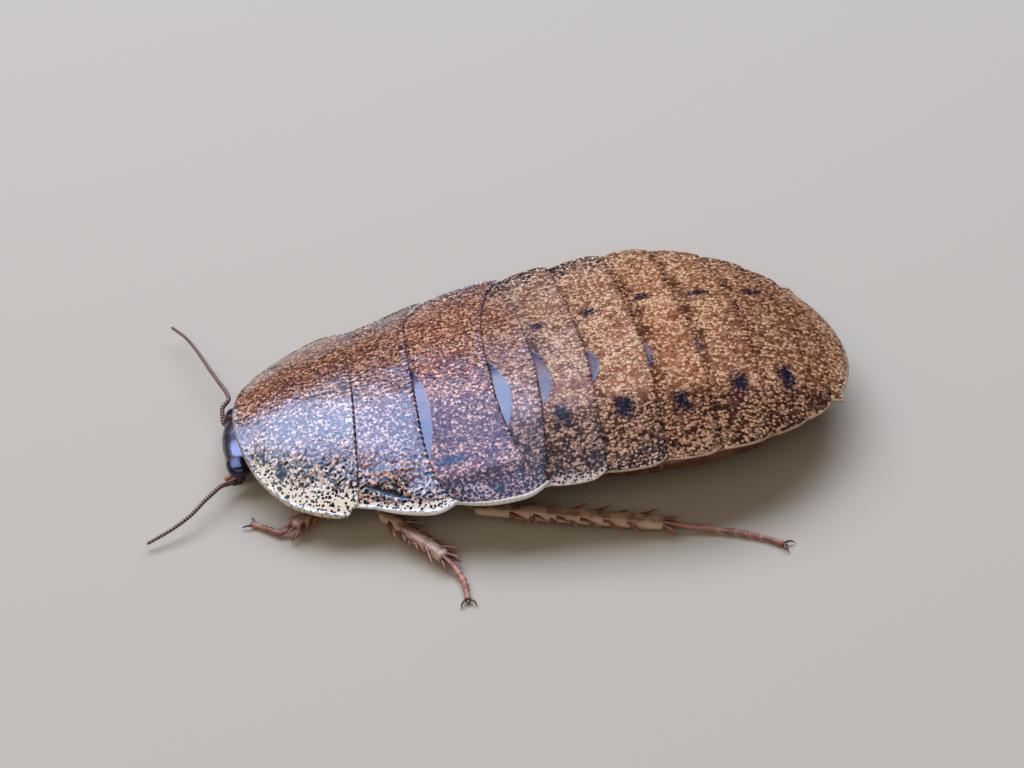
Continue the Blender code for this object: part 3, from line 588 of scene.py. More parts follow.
rear_edges = [HOOD_REAR, *THORAX_REAR.values()]
for number, (name, rear) in enumerate(ABDOMEN_REAR.items(), start=1):
    reach = FIRST_REACH if number == 1 else 1.0
    plan = band_plan(rear_edges[-2:], rear, TERGITE_LOBES[number - 1], reach, 62, 280, 20 + number)
    x, y, side_gap = plan["x"], plan["y"], plan["from_side"]
    rear_edges.append(rear)
    crowded = ease(1.9, 0.2, side_gap + 0.8 * drift(x, y, 0.5, number))
    rim_flecks = 0.35 * ease(0.9, 0.3, side_gap) * (number < 3) * (y < 0)
    left_scar, right_scar = SCARS.get(name, NO_SCARS)
    sway = 0.15 * drift(x, y, 0.35, number)
    scars = np.where(y < 0, patch(x + sway, y, left_scar + LEFT_SCAR),
                     patch(x + sway, y, right_scar + RIGHT_SCAR))
    middle_stain = patch(x, y, (x.max() - 0.9, 0.0, 0.35, 0.9)) * (number > 4)
    # Painted shade: each tergite is darkened mostly on its left side and a little at its right margin,
    # and at its front, in the shadow under the rear edge of the plate before it. The hind tergites also
    # grow darker towards the rear
    stain_and_shade = 0.95 * ease(2.5, 4.4, -y) + 0.2 * ease(3.4, 5.5, y)
    stain_and_shade = np.maximum(stain_and_shade, 0.6 * ease(18.5, 25.0, x))
    seam = ease(0.8, 0.1, plan["behind"] + 0.35 * drift(x, y, 0.8, number + 40)) * (number > 1)
    stain_and_shade = np.maximum(stain_and_shade, (0.55 if number < 4 else 0.8) * seam)
    lip = ease(0.08, 0.03, side_gap) * (number > 1)
    shell_plate(name + "_shell", name, x, y, band_rise(plan, LIFTS[number - 1]) + 0.03 * lip,
                np.minimum(plan["from_rear"], side_gap), tergite_chitin[number - 1],
                "abdomen_chitin", {
                    "pale": (0.45 if number < 4 else 0.22) * crowded + rim_flecks,
                    "dark": np.maximum(0.9 * scars, 0.3 * middle_stain),
                    "stain_and_shade": stain_and_shade,
                    "bare": bare_strip(plan, *STRIPS[number - 1]),
                    "lip": 0.65 * lip,
                    "tick": notches(plan["tooth"], y, plan["from_rear"], number),
                })

# Supra-anal plate: the last back plate, a thin rounded flap of chitin over the end of the gut.

FLAP_STAIN = (26.1, 0.0, 0.4, 0.5)
root = ABDOMEN_REAR["tergite_7"][1]
flap_half = float(half_width(np.array(root + 0.3)))
across, along = plate_grid(40, 220)
y = across * flap_half
shown = np.maximum(rear_edge(ABDOMEN_REAR["tergite_6"], across),
                   rear_edge(ABDOMEN_REAR["tergite_7"], across))
flap_end = WIDEST_TO + (BODY_LENGTH - WIDEST_TO) * np.sqrt(1 - (y / HALF_WIDTH) ** 2)
flap_end = np.maximum(flap_end, shown + 0.65)
x = shown - TUCK + (flap_end - shown + TUCK) * along
behind = x - shown
flap_edge = np.minimum(flap_end - x, (1 - np.abs(across)) * flap_half)
flap_rise = -SINK_FRONT * ease(0.15, -TUCK, behind) - 0.04 * ease(0.9, 0.0, behind)
shell_plate("supra_anal_shell", "supra_anal_plate", x, y, flap_rise, flap_edge,
            hind_chitin, "abdomen_chitin", {
                "pale": 0.35 * ease(0.6, 0.1, flap_edge),
                "dark": 0.4 * patch(x, y, FLAP_STAIN),
                "stain_and_shade": np.full_like(x, 0.3),
                "lip": 0.6 * ease(0.14, 0.07, flap_edge),
            })

# Underside: three thorax segments of leathery skin between the legs, and seven belly plates of
# smooth, shining chitin on the abdomen. Each plate's rear edge lies over the next one.

BELLY_DEPTH = 0.78          # how far the body lies below the back plates
ABDOMEN_REACH = ((11.4, 0.66), (14.0, 0.78), (18.0, 0.86), (24.0, 0.82))
ABDOMEN_BELLY = ((11.4, 1.4), (13.5, 1.1), (16.0, 1.0), (21.0, 1.0), (24.5, 1.3), (26.3, 1.5))
ABDOMEN_RISE = ((11.4, 0.3), (14.0, 0.6), (18.0, 0.95), (24.0, 0.6), (26.3, 0.1))
STERNITE_CUTS = (11.45, 13.4, 15.6, 17.9, 20.2, 22.4, 24.5, 26.1)
THORAX_CUTS = (2.6, 5.05, 8.15, 11.45)


def ring_faces(rings, sides, flipped=False):
    """Faces between rings of points that run along a limb, with a cap on each end."""
    corner = np.arange(rings * sides).reshape(rings, sides)
    after = np.roll(corner, -1, axis=1)
    faces = np.stack((corner[:-1], corner[1:], after[1:], after[:-1]), axis=2).reshape(-1, 4)
    faces = faces.tolist() + [corner[0].tolist(), corner[-1, ::-1].tolist()]
    return [face[::-1] for face in faces] if flipped else faces


def smooth_chitin(name, dark, pale, roughness, coat, grain=0.12, tone="", toned="#000000",
                  ior=1.56, wax="#ffffff"):
    """Smooth hardened chitin: a thin, even, slightly clear skin with a soft shine, mottled where
    it is thicker. A tone can lay one more colour over it, such as a pale joint or a dark root."""
    finish, tree, shader, place = new_finish(name, roughness=roughness, ior=ior, coat_weight=coat,
                                             coat_roughness=0.22, specular_tint=linear(wax))
    cloud = add_node(tree, "TexNoise", {}, {"Vector": place, "Scale": 1 / (5 * grain * MM),
                                            "Detail": 3.0, "Roughness": 0.6})
    pitted = add_node(tree, "TexNoise", {}, {"Vector": place, "Scale": 1 / (grain * MM)})
    thick = add_node(tree, "MapRange", RAMP, (cloud, 0.35, 0.65))
    colour = add_node(tree, "Mix", MIX, {0: thick, 6: linear(dark), 7: linear(pale)}, 2)
    spots = add_node(tree, "MapRange", RAMP, (pitted, 0.5, 0.7, 0.0, 0.45))
    colour = add_node(tree, "Mix", MIX, {0: spots, 6: colour, 7: linear(dark)}, 2)
    if tone:
        amount = add_node(tree, "Attribute", {"attribute_name": tone}, {}, "Fac")
        colour = add_node(tree, "Mix", MIX, {0: amount, 6: colour, 7: linear(toned)}, 2)
    tree.links.new(colour, shader.inputs["Base Color"])
    rough = add_node(tree, "MapRange", RAMP, (pitted, 0.3, 0.7, roughness * 0.85, roughness * 1.2))
    tree.links.new(rough, shader.inputs["Roughness"])
    bump = add_node(tree, "Bump", {}, {"Strength": 0.35, "Distance": 0.02 * MM, "Height": pitted})
    tree.links.new(bump, shader.inputs["Normal"])
    return finish


def belly_segment(name, node, start, end, reach, belly, rise, curve, finish, overlap):
    """A closed ring of the body's underside between two places along it."""
    stations, top_points, low_points = 30, 31, 91
    share = np.linspace(0, 1, stations)
    rings = []
    rim = []
    for part in share:
        x = start + (end - start) * part
        wide = reach(x) * float(half_width(np.array(x)))
        y_top = np.linspace(-wide, wide, top_points)
        x_top = x - curve * (y_top / HALF_WIDTH) ** 2
        z_top = back_height(x_top, y_top) - BELLY_DEPTH
        y_low = np.linspace(wide, -wide, low_points) * 0.985
        x_low = x - curve * (y_low / HALF_WIDTH) ** 2
        swell = 0.05 * math.sin(math.pi * part) + overlap * (part ** 3 - 0.6)
        fold = 0.03 * drift(x_low, y_low, 1.1, 31)
        z_low = belly(x) + rise(x) * np.abs(y_low / wide) ** 2.6 - swell + fold
        x_ring, y_ring = np.concatenate((x_top, x_low)), np.concatenate((y_top, y_low))
        rings.append(np.stack((x_ring, y_ring, np.concatenate((z_top, z_low))), axis=1))
        rim.append(np.full(top_points + low_points, 1.0 if part > 0.95 else 0.0))
    points = np.concatenate(rings)
    faces = ring_faces(stations, top_points + low_points, flipped=True)
    add_piece(name, points, faces, finish, "underside_chitin", (node,),
              {"rim": np.concatenate(rim)})


def at(points):
    """A function that reads one value from the smooth curve through a few points."""
    return lambda x: float(curve_through(points, np.array(x)))


thorax_skin = smooth_chitin("leathery_skin_of_thorax", "#7a5238", "#b58c64", 0.5, 0.1, 0.2,
                            "rim", "#d9bd94")
belly_chitin = smooth_chitin("chitin_of_belly", "#4a2415", "#8a4d2a", 0.34, 0.35, 0.16,
                             "rim", "#7d4c2a")
segments = ("prothorax", "mesothorax", "metathorax")
for name, start, end in zip(segments, THORAX_CUTS, THORAX_CUTS[1:]):
    belly_segment(name + "_skin", name + "_underside", start, end - 0.05, lambda x: 0.5,
                  lambda x: 1.5, lambda x: 0.15, 0.0, thorax_skin, 0.04)
for number in range(7):
    name = "sternite_%d" % (number + 1) if number < 6 else "subgenital_plate"
    reach = at(ABDOMEN_REACH) if number < 6 else (lambda x: 0.44)
    rise = at(ABDOMEN_RISE) if number < 6 else (lambda x: 0.15)
    first = STERNITE_CUTS[number] - (0.35 if number else 0.0)
    belly_segment(name + "_shell", name, first, STERNITE_CUTS[number + 1] - 0.05, reach,
                  at(ABDOMEN_BELLY), rise, 0.6, belly_chitin, 0.1)

# Head: a smooth, dark capsule of chitin bent down under the hood, its crown just showing. It is
# one fused shell, with a fine seam down the crown and a pale spot inside each feeler's root.

HEAD_FRONT = -0.6
HEAD_REAR = 2.3
HEAD_HALF_WIDTH = 1.72
HEAD_TOP = 1.68
HEAD_BOTTOM = 0.6
HEAD_FORM = ((0.0, 0.3, 0.3), (0.03, 0.55, 0.52), (0.08, 0.76, 0.74), (0.16, 0.9, 0.9),
             (0.32, 1.0, 1.0), (0.6, 0.98, 0.98), (0.85, 0.75, 0.8), (1.0, 0.5, 0.55))


def form_along(stations, share):
    """Half breadth and half height along a limb, from its (share, breadth, height) stations."""
    return [curve_through([(station[0], station[axis]) for station in stations], share)
            for axis in (1, 2)]


def section(sides, out_power, up_power):
    """How far out and up a limb's round section reaches; a power below 1 flattens its sides."""
    turn = np.linspace(0, 2 * math.pi, sides, endpoint=False)
    return (np.sign(np.cos(turn)) * np.abs(np.cos(turn)) ** out_power,
            np.sign(np.sin(turn)) * np.abs(np.sin(turn)) ** up_power)


head_chitin = smooth_chitin("chitin_of_head", "#1c0f0b", "#3a2117", 0.26, 0.3, 0.14,
                            "face", "#9a5f3a", ior=2.2, wax="#b6ccff")
rings, sides = 56, 64
share = np.linspace(0, 1, rings) ** 1.3
head_wide, head_high = form_along(HEAD_FORM, share)
flat_y, flat_z = section(sides, 0.75, 0.85)
head_y = HEAD_HALF_WIDTH * head_wide[:, None] * flat_y[None, :]
head_z = (HEAD_TOP - HEAD_BOTTOM) / 2 * head_high[:, None] * flat_z[None, :]
head_z = (HEAD_TOP + HEAD_BOTTOM) / 2 + head_z
head_x = HEAD_FRONT + (HEAD_REAR - HEAD_FRONT) * share[:, None] + 0 * head_y
seam = np.exp(-(head_y / 0.05) ** 2) * (head_z > 1.2)
pale_spot = ((np.abs(head_y) - 1.0) / 0.12) ** 2 + ((head_z - 1.1) / 0.1) ** 2
pale_spot = np.exp(-pale_spot) * (head_x < 0)
head_points = np.stack((head_x, head_y, head_z - 0.02 * seam), axis=2).reshape(-1, 3)
face_tone = np.maximum(0.85 * pale_spot, 0.9 * ease(1.12, 0.92, head_z) * ease(0.4, -0.2, head_x))
add_piece("head_capsule", head_points, ring_faces(rings, sides, flipped=True), head_chitin,
          "head_chitin", ("head",), {"face": face_tone.ravel()})

# Compound eyes: one on each side of the head, a kidney-shaped dome of many small clear lenses
# over black pigment, glossy as lacquer, in a narrow brown rim.

EYE_CENTRE = (0.06, HEAD_HALF_WIDTH - 0.08, 1.2)
EYE_LONG = 0.68
EYE_OUT = 0.6
EYE_TALL = 0.36
LENS = 0.05                 # drawn about twice the real breadth of a lens, so that it shows
SIDES = (("left", -1), ("right", 1))


def eye_cuticle():
    """Clear cuticle over black pigment: to the eye a wet black gloss, dulled by fine facets."""
    finish, tree, shader, place = new_finish("lens_cuticle_of_eye", roughness=0.22, ior=1.7,
                                             specular_tint=linear("#b6ccff"))
    lens = add_node(tree, "TexVoronoi", {}, {"Vector": place, "Scale": 1 / (LENS * MM),
                                             "Randomness": 0.25}, "Distance")
    cloud = add_node(tree, "TexNoise", {}, {"Vector": place, "Scale": 1 / (0.35 * MM)})
    cloud = add_node(tree, "MapRange", RAMP, (cloud, 0.4, 0.65))
    colour = add_node(tree, "Mix", MIX, {0: cloud, 6: linear("#0c0a0c"), 7: linear("#241412")}, 2)
    rim = add_node(tree, "Attribute", {"attribute_name": "rim"}, {}, "Fac")
    colour = add_node(tree, "Mix", MIX, {0: rim, 6: colour, 7: linear("#5a2c18")}, 2)
    tree.links.new(colour, shader.inputs["Base Color"])
    bump = add_node(tree, "Bump", {"invert": True}, {"Strength": 0.3, "Distance": 0.012 * MM,
                                                     "Height": lens})
    tree.links.new(bump, shader.inputs["Normal"])
    return finish


lens_cuticle = eye_cuticle()
for side, sign in SIDES:
    rings, sides = 30, 60
    rise = (np.linspace(0, 1, rings) * math.pi / 2 * 0.985)[:, None]
    turn = np.linspace(0, 2 * math.pi, sides, endpoint=False)[None, :]
    notch = 1 - 0.16 * np.exp(-((np.cos(turn) + 1) / 0.35) ** 2)
    eye_x = EYE_CENTRE[0] + EYE_LONG * np.cos(rise) * np.cos(turn) * notch
    eye_z = EYE_CENTRE[2] + EYE_TALL * np.cos(rise) * np.sin(turn)
    eye_y = sign * (EYE_CENTRE[1] + EYE_OUT * np.sin(rise) - 0.2 * np.cos(rise) ** 8) + 0 * turn
    points = np.stack((eye_x, eye_y, eye_z), axis=2).reshape(-1, 3)
    rim = ease(0.2, 0.02, rise) + 0 * turn
    add_piece("compound_eye_" + side, points, ring_faces(rings, sides, flipped=sign > 0),
              lens_cuticle, "eye_cuticle", ("eye_" + side,), {"rim": rim.ravel()})

# Mouth: a pale-edged upper lip over two dark jaws, with a five-jointed palp on each side that
# the animal feels its food with. All are thin chitin, orange-brown and half clear.


def smooth_path(points, count):
    """Places evenly spread along the smooth curve through a few points."""
    points = np.array(points, dtype=float)
    runs = np.linalg.norm(np.diff(points, axis=0), axis=1)
    places = np.concatenate(([0.0], np.cumsum(runs)))
    wanted = np.linspace(0, places[-1], count)
    return np.stack([curve_through(list(zip(places, points[:, axis])), wanted)
                     for axis in range(3)], axis=1)


def sweep(path, wide, high, sides=20, square=1.0):
    """Points and faces of a closed limb along a path, from its half breadths and half heights.
    A square below 1 flattens the four sides of its section."""
    path = np.asarray(path, dtype=float)
    ahead = np.gradient(path, axis=0)
    ahead /= np.linalg.norm(ahead, axis=1)[:, None]
    beside = np.cross(ahead, (0.0, 0.0, 1.0))
    beside /= np.maximum(np.linalg.norm(beside, axis=1), 1e-6)[:, None]
    above = np.cross(beside, ahead)
    out, up = section(sides, square, square)
    wide = np.broadcast_to(wide, len(path))
    high = np.broadcast_to(high, len(path))
    points = (path[:, None, :] + beside[:, None, :] * (wide[:, None] * out)[:, :, None]
              + above[:, None, :] * (high[:, None] * up)[:, :, None])
    return points.reshape(-1, 3), ring_faces(len(path), sides)


def join(parts):
    """Several shapes as one list of points and one of faces."""
    points, faces, start = [], [], 0
    for some_points, some_faces in parts:
        points.append(some_points)
        faces += [tuple(corner + start for corner in face) for face in some_faces]
        start += len(some_points)
    return np.concatenate(points), faces


def rounded(share, length, first, last):
    """How much a limb narrows at its two round ends, of given radii."""
    from_start, from_end = share * length, (1 - share) * length
    near = np.sqrt(np.clip(1 - (1 - np.clip(from_start / first, 0, 1)) ** 2, 0.004, 1))
    return near * np.sqrt(np.clip(1 - (1 - np.clip(from_end / last, 0, 1)) ** 2, 0.004, 1))


def jointed(path, radii, sides=18):
    """A feeling limb made of joints: path points, and (share, radius) pairs for each joint end."""
    share = np.linspace(0, 1, len(path))
    radius = np.zeros(len(path))
    for (start, thin), (end, thick) in zip(radii, radii[1:]):
        inside = (share >= start) & (share <= end)
        part = np.clip((share - start) / (end - start), 0, 1)
        swollen = (thin + (thick - thin) * part) * (0.72 + 0.28 * np.sin(math.pi * part) ** 0.4)
        radius = np.where(inside, swollen, radius)
    return sweep(path, radius, radius, sides)


mouth_chitin = smooth_chitin("clear_chitin_of_mouth", "#6e3a1e", "#b0764a", 0.3, 0.35, 0.12)
root = HEAD_FRONT + 0.35
lip_path = smooth_path(((root + 0.1, 0, 0.85), (root - 0.12, 0.0, 0.7), (root - 0.2, 0.0, 0.5),
                        (root - 0.1, 0.0, 0.28)), 26)
share = np.linspace(0, 1, 26)
parts = [sweep(lip_path, 0.42 * rounded(share, 1.0, 0.3, 0.25),
               0.17 * rounded(share, 1.0, 0.3, 0.2), 24, 0.8)]
jaw_form = rounded(np.linspace(0, 1, 16), 0.8, 0.2, 0.15)
for side, sign in SIDES:
    jaw_path = smooth_path(((root + 0.4, 0.5 * sign, 0.65), (root + 0.1, 0.42 * sign, 0.45),
                            (root - 0.02, 0.12 * sign, 0.3)), 16)
    parts.append(sweep(jaw_path, 0.2 * jaw_form, 0.14 * jaw_form, 16))
    feeler_path = smooth_path(((root + 0.5, 0.3 * sign, 0.45), (root + 0.15, 0.5 * sign, 0.28),
                               (root - 0.15, 0.6 * sign, 0.14)), 40)
    parts.append(jointed(feeler_path, ((0, 0.07), (0.35, 0.08), (0.65, 0.09), (1, 0.06)), 12))
add_piece("mouth_and_jaws", *join(parts), mouth_chitin, "leg_chitin", ("mouthparts",))

for side, sign in SIDES:
    palp_path = smooth_path(((root + 0.85, 0.95 * sign, 0.7), (root + 0.6, 1.02 * sign, 0.42),
                             (root + 0.1, 1.08 * sign, 0.3), (root - 0.2, 1.14 * sign, 0.24),
                             (root - 0.45, 1.22 * sign, 0.16)), 90)
    palp = jointed(palp_path, ((0, 0.1), (0.12, 0.12), (0.25, 0.12), (0.5, 0.12), (0.75, 0.13),
                               (1, 0.11)))
    add_piece("maxillary_palp_" + side, *palp, mouth_chitin, "leg_chitin", ("palp_" + side,))

# Feelers: each has a stout first joint, a short second one and a whip of many small rings, dark
# brown with a pale line of soft skin between rings. Both are bent and rest where they ended.

FEELERS = {
    "left": ((0.15, -0.45, 0.75), (-0.08, -0.2, 0.52), (-0.5, 0.05, 0.65), (-0.89, 0.47, 0.86),
             (-1.4, 1.05, 0.85), (-2.2, 1.91, 0.72), (-2.94, 2.35, 0.55), (-4.0, 2.8, 0.35)),
    "right": ((0.1, -0.5, 0.75), (-0.3, -0.2, 0.52), (-0.6, 0.15, 0.68), (-0.58, 0.65, 0.95),
              (-0.25, 1.12, 1.13), (-0.67, 2.35, 1.25), (-1.05, 3.4, 1.22), (-1.54, 4.85, 1.15),
              (-2.1, 6.3, 1.0), (-2.8, 7.6, 0.8)),
}
RING = 0.14                 # length of one ring of the whip
WHIP_ROOT = 0.11            # its radius at the root and at the tip
WHIP_TIP = 0.07
FIRST_JOINT = 0.5           # length of each of the two joints before the whip
SECOND_JOINT = 0.22
FEELER_SIDES = 16

feeler_chitin = smooth_chitin("chitin_of_feelers", "#1e0f0c", "#48211a", 0.45, 0.1, 0.1,
                              "ring", "#c9987c")
for side, sign in SIDES:
    route = [(x, sign * (HEAD_HALF_WIDTH + 0.3 + out), z) for x, out, z in FEELERS[side]]
    length = float(np.sum(np.linalg.norm(np.diff(np.array(route), axis=0), axis=1)))
    count = int(length / RING * 8)
    run = np.linspace(0, length, count)
    inside_ring = (run / RING) % 1
    whip = WHIP_ROOT + (WHIP_TIP - WHIP_ROOT) * run / length
    bead = whip * (0.82 + 0.18 * np.sin(math.pi * inside_ring) ** 0.5)
    first = 0.2 * (0.75 + 0.25 * np.sin(math.pi * np.clip(run / FIRST_JOINT, 0, 1)) ** 0.5)
    second = np.clip((run - FIRST_JOINT) / SECOND_JOINT, 0, 1)
    second = 0.15 * (0.8 + 0.2 * np.sin(math.pi * second))
    before_whip = run < FIRST_JOINT + SECOND_JOINT
    radius = np.where(run < FIRST_JOINT, first, np.where(before_whip, second, bead))
    radius *= np.sqrt(np.clip((length - run) / 0.08 + 0.02, 0, 1))
    joint_line = ease(0.24, 0.1, np.minimum(inside_ring, 1 - inside_ring))
    joint_line = np.where(before_whip, 0.0, 0.6 * joint_line)
    whole = sweep(smooth_path(route, count), radius, radius, FEELER_SIDES)
    add_piece("feeler_" + side, *whole, feeler_chitin, "antenna_chitin", ("antenna_" + side,),
              {"ring": np.repeat(joint_line, FEELER_SIDES)})

# Legs: three pairs, each a broad coxa pressed flat to the body, a femur, a spiny tibia and a
# five-jointed foot. They are tubes of tan chitin with the muscles inside, jointed by soft skin.

LEGS = {
    "fore": {
        "coxa": ((2.95, -1.5, 0.9), (4.4, -1.0, 0.85)),
        "knee": (3.9, -4.1, 0.8),
        "ankle": (2.05, -5.2, 0.45),
        "foot": ((1.6, -5.15, 0.36), (1.0, -4.75, 0.3), (0.4, -4.3, 0.25)),
        "widths": (0.5, 0.42, 0.26),
        "spines": 6,
        "shift": (0.0, 0.3),
    },
    "mid": {
        "coxa": ((5.6, -1.6, 0.9), (7.6, -1.0, 0.85)),
        "knee": (5.7, -5.4, 0.85),
        "ankle": (8.1, -8.3, 0.5),
        "foot": ((8.45, -8.9, 0.38), (8.65, -9.7, 0.3), (8.65, -10.45, 0.25)),
        "widths": (0.6, 0.52, 0.28),
        "spines": 8,
        "shift": (0.2, 0.5),
    },
    "hind": {
        "coxa": ((8.7, -1.75, 0.9), (10.9, -1.05, 0.85)),
        "knee": (9.5, -6.0, 0.9),
        "ankle": (17.25, -8.1, 0.55),
        "foot": ((18.75, -8.42, 0.38), (20.0, -8.85, 0.3), (21.0, -9.35, 0.27), (21.7, -9.85, 0.25)),
        "widths": (0.62, 0.6, 0.3),
        "spines": 12,
        "shift": (-0.2, -0.5),
    },
}
RIGHT_TUCK = 0.4            # share by which the right feet are drawn in, beyond this reach
TUCK_FROM = 6.5
SPINE = 1.0                 # length of the longest spines, and their radius at the root
SPINE_ROOT = 0.07
FOOT_LEVEL = 0.25           # height above the ground at which a foot's places are given
FOOT_THICK = 0.15
FOOT_JOINTS = (0.0, 0.42, 0.58, 0.7, 0.79, 1.0)
CLAW = 0.42
LIMB_RINGS = 60
LIMB_SIDES = 30

# The limbs' forms between their joints: share along, half breadth as a share of the widest,
# and half height
COXA_FORM = ((0, 0.55, 0.25), (0.2, 0.95, 0.31), (0.5, 1.0, 0.31), (0.8, 0.7, 0.3))
FEMUR_FORM = ((0.12, 0.5, 0.27), (0.3, 0.9, 0.3), (0.5, 1.0, 0.3), (0.8, 0.7, 0.28))
TIBIA_FORM = ((0.08, 0.8, 0.24), (0.3, 0.95, 0.26), (0.7, 1.0, 0.26), (0.93, 1.0, 0.25),
              (1, 0.75, 0.2))

coxa_chitin = smooth_chitin("chitin_of_coxae", "#6b3c22", "#a8713f", 0.36, 0.25, 0.18,
                            "edge", "#d8b384")
leg_chitin = smooth_chitin("chitin_of_legs", "#74503f", "#b8967c", 0.4, 0.2, 0.13,
                           "edge", "#cdb295")
spine_chitin = smooth_chitin("chitin_of_spines", "#4a1c14", "#7a3524", 0.25, 0.4, 0.1,
                             "edge", "#a9694a")
foot_chitin = smooth_chitin("chitin_of_feet", "#7a4434", "#b27660", 0.38, 0.2, 0.11,
                            "edge", "#c79a74")
claw_chitin = smooth_chitin("chitin_of_claws", "#2a100c", "#5a241a", 0.18, 0.5, 0.1)


def scaled(stations, half_breadth):
    """Stations of a limb with their breadths times its own half breadth."""
    return tuple((share, half_breadth * wide, high) for share, wide, high in stations)


def limb(start, end, stations, square=0.85):
    """A leg part between two joints, from (share, half breadth, half height) along it."""
    length = float(np.linalg.norm(end - start))
    share = np.linspace(0, 1, LIMB_RINGS)
    wide, high = form_along(stations, share)
    shrink = rounded(share, length, stations[0][2], stations[-1][2])
    path = start + (end - start) * share[:, None]
    return sweep(path, wide * shrink, high * shrink, LIMB_SIDES, square)


def spine(root, lean, length, thick, droop):
    """One stout spine: a collar at its root, a slight curve, and a sharp tip."""
    share = np.linspace(0, 1, 12)
    path = root + lean / np.linalg.norm(lean) * (length * share)[:, None]
    path = path + np.array((0, 0, -droop)) * (share ** 2)[:, None]
    path[:, 2] = np.maximum(path[:, 2], 0.06)
    radius = thick * (1 - share) ** 0.75 + 0.012
    radius[:2] *= 1.35
    return sweep(path, radius, radius, 8)


edge_tone = np.abs(np.cos(np.linspace(0, 2 * math.pi, LIMB_SIDES, endpoint=False))) ** 6
edge_tone = np.tile(edge_tone, LIMB_RINGS)
for pair, leg in LEGS.items():
    for side, sign in SIDES:
        tag = "_%s_%s" % (pair, side)
        knee_shift, foot_shift = leg["shift"] if side == "right" else (0.0, 0.0)
        tuck = RIGHT_TUCK if side == "right" else 0.0

        def put(point, shift=0.0):
            out = abs(point[1]) - tuck * max(abs(point[1]) - TUCK_FROM, 0.0)
            return np.array((point[0] + shift, sign * out, point[2]))

        top, apex = (put(point) for point in leg["coxa"])
        knee, ankle = put(leg["knee"], knee_shift), put(leg["ankle"], foot_shift)
        foot = [put(point, foot_shift) for point in leg["foot"]]
        coxa_wide, femur_wide, tibia_wide = leg["widths"]

        coxa = limb(top, apex, (*scaled(COXA_FORM, coxa_wide), (1, 0.26, 0.25)))
        add_piece("coxa_shell" + tag, *coxa, coxa_chitin, "underside_chitin",
                  ("coxa" + tag,), {"edge": 0.8 * edge_tone})
        femur = limb(apex, knee, ((0, 0.24, 0.24), *scaled(FEMUR_FORM, femur_wide),
                                  (0.95, 0.28, 0.27), (1, 0.27, 0.26)))
        add_piece("femur_shell" + tag, *femur, leg_chitin, "leg_chitin",
                  ("femur" + tag,), {"edge": 0.5 * edge_tone})
        tibia = limb(knee, ankle, ((0, 0.2, 0.2), *scaled(TIBIA_FORM, tibia_wide)), 0.7)
        add_piece("tibia_shell" + tag, *tibia, leg_chitin, "leg_chitin",
                  ("tibia" + tag,), {"edge": 0.9 * edge_tone})

        way = (ankle - knee) / np.linalg.norm(ankle - knee)
        beside = np.cross(way, (0.0, 0.0, 1.0))
        beside /= np.linalg.norm(beside)
        above = np.cross(beside, way)
        spines = []
        for rank, degrees in enumerate((35, 145, -8, 188)):
            count = leg["spines"] // 2 + (rank > 1)
            turn = math.radians(degrees)
            out = beside * math.cos(turn) + above * math.sin(turn) * 0.6
            for index in range(count):
                part = 0.2 + 0.72 * (index + 0.5 * (rank % 2)) / count
                length = SPINE * (0.8 + 0.2 * math.cos(2.1 * index + rank))
                length *= 1.0 if rank < 2 else 0.75
                root = knee + (ankle - knee) * part + out * tibia_wide * 0.85
                spines.append(spine(root, out * 0.6 + way * 0.8, length, SPINE_ROOT, 0.12))
        for degrees in (10, 60, 120, 170, 215, -35):
            turn = math.radians(degrees)
            out = beside * math.cos(turn) + above * math.sin(turn) * 0.6
            root = ankle - way * 0.12 + out * tibia_wide * 0.7
            spines.append(spine(root, out * 0.5 + way * 0.9, 0.6 * SPINE, SPINE_ROOT, 0.08))
        tips = np.tile(np.repeat(np.linspace(0, 1, 12) ** 1.5, 8), len(spines))
        add_piece("tibia_spines" + tag, *join(spines), spine_chitin, "tarsus_chitin", (),
                  {"edge": 0.8 * tips})

        drop = np.array((0.0, 0.0, FOOT_LEVEL - FOOT_THICK))
        route = smooth_path([ankle - way * 0.1] + [point - drop for point in foot], 121)
        share = np.linspace(0, 1, 121)
        radius = np.zeros(121)
        joint_tone = np.zeros(121)
        for start, end in zip(FOOT_JOINTS, FOOT_JOINTS[1:]):
            inside = (share >= start) & (share <= end)
            part = (share - start) / (end - start)
            flare = FOOT_THICK * (0.62 + 0.38 * np.clip(part, 0, 1) ** 1.4)
            radius = np.where(inside, flare, radius)
            joint_tone = np.where(inside, ease(0.16, 0.0, np.clip(part, 0, 1)), joint_tone)
        radius *= np.sqrt(np.clip((1 - share) / 0.03 + 0.05, 0, 1))
        route[:, 2] = np.maximum(route[:, 2], radius + 0.01)
        add_piece("foot" + tag, *sweep(route, radius, radius * 0.92, 18), foot_chitin,
                  "tarsus_chitin", ("tarsus" + tag,), {"edge": np.repeat(0.8 * joint_tone, 18)})

        end, ahead = route[-1], route[-1] - route[-6]
        ahead = ahead / np.linalg.norm(ahead)
        across = np.cross(ahead, (0.0, 0.0, 1.0))
        across /= np.linalg.norm(across)
        claws = []
        share = np.linspace(0, 1, 16)
        thick = 0.055 * (1 - share) ** 0.7 + 0.008
        curl = end[2] + 0.09 * np.sin(share * math.pi) - 0.08 * share
        for turn in (-1, 1):
            bend = 0.05 + 0.26 * np.sin(share * math.pi / 2)[:, None]
            hook = end - ahead * 0.05 + across * turn * bend + ahead * CLAW * share[:, None]
            hook[:, 2] = np.maximum(curl, 0.05)
            claws.append(sweep(hook, thick, thick, 10))
        pad_path = end + ahead * np.linspace(-0.02, 0.16, 10)[:, None]
        pad_form = rounded(np.linspace(0, 1, 10), 0.18, 0.08, 0.08)
        claws.append(sweep(pad_path, 0.07 * pad_form, 0.05 * pad_form, 12))
        add_piece("claws" + tag, *join(claws), claw_chitin, "tarsus_chitin")

# Cerci: two short ringed tail feelers under the last tergites, of the same brown chitin.

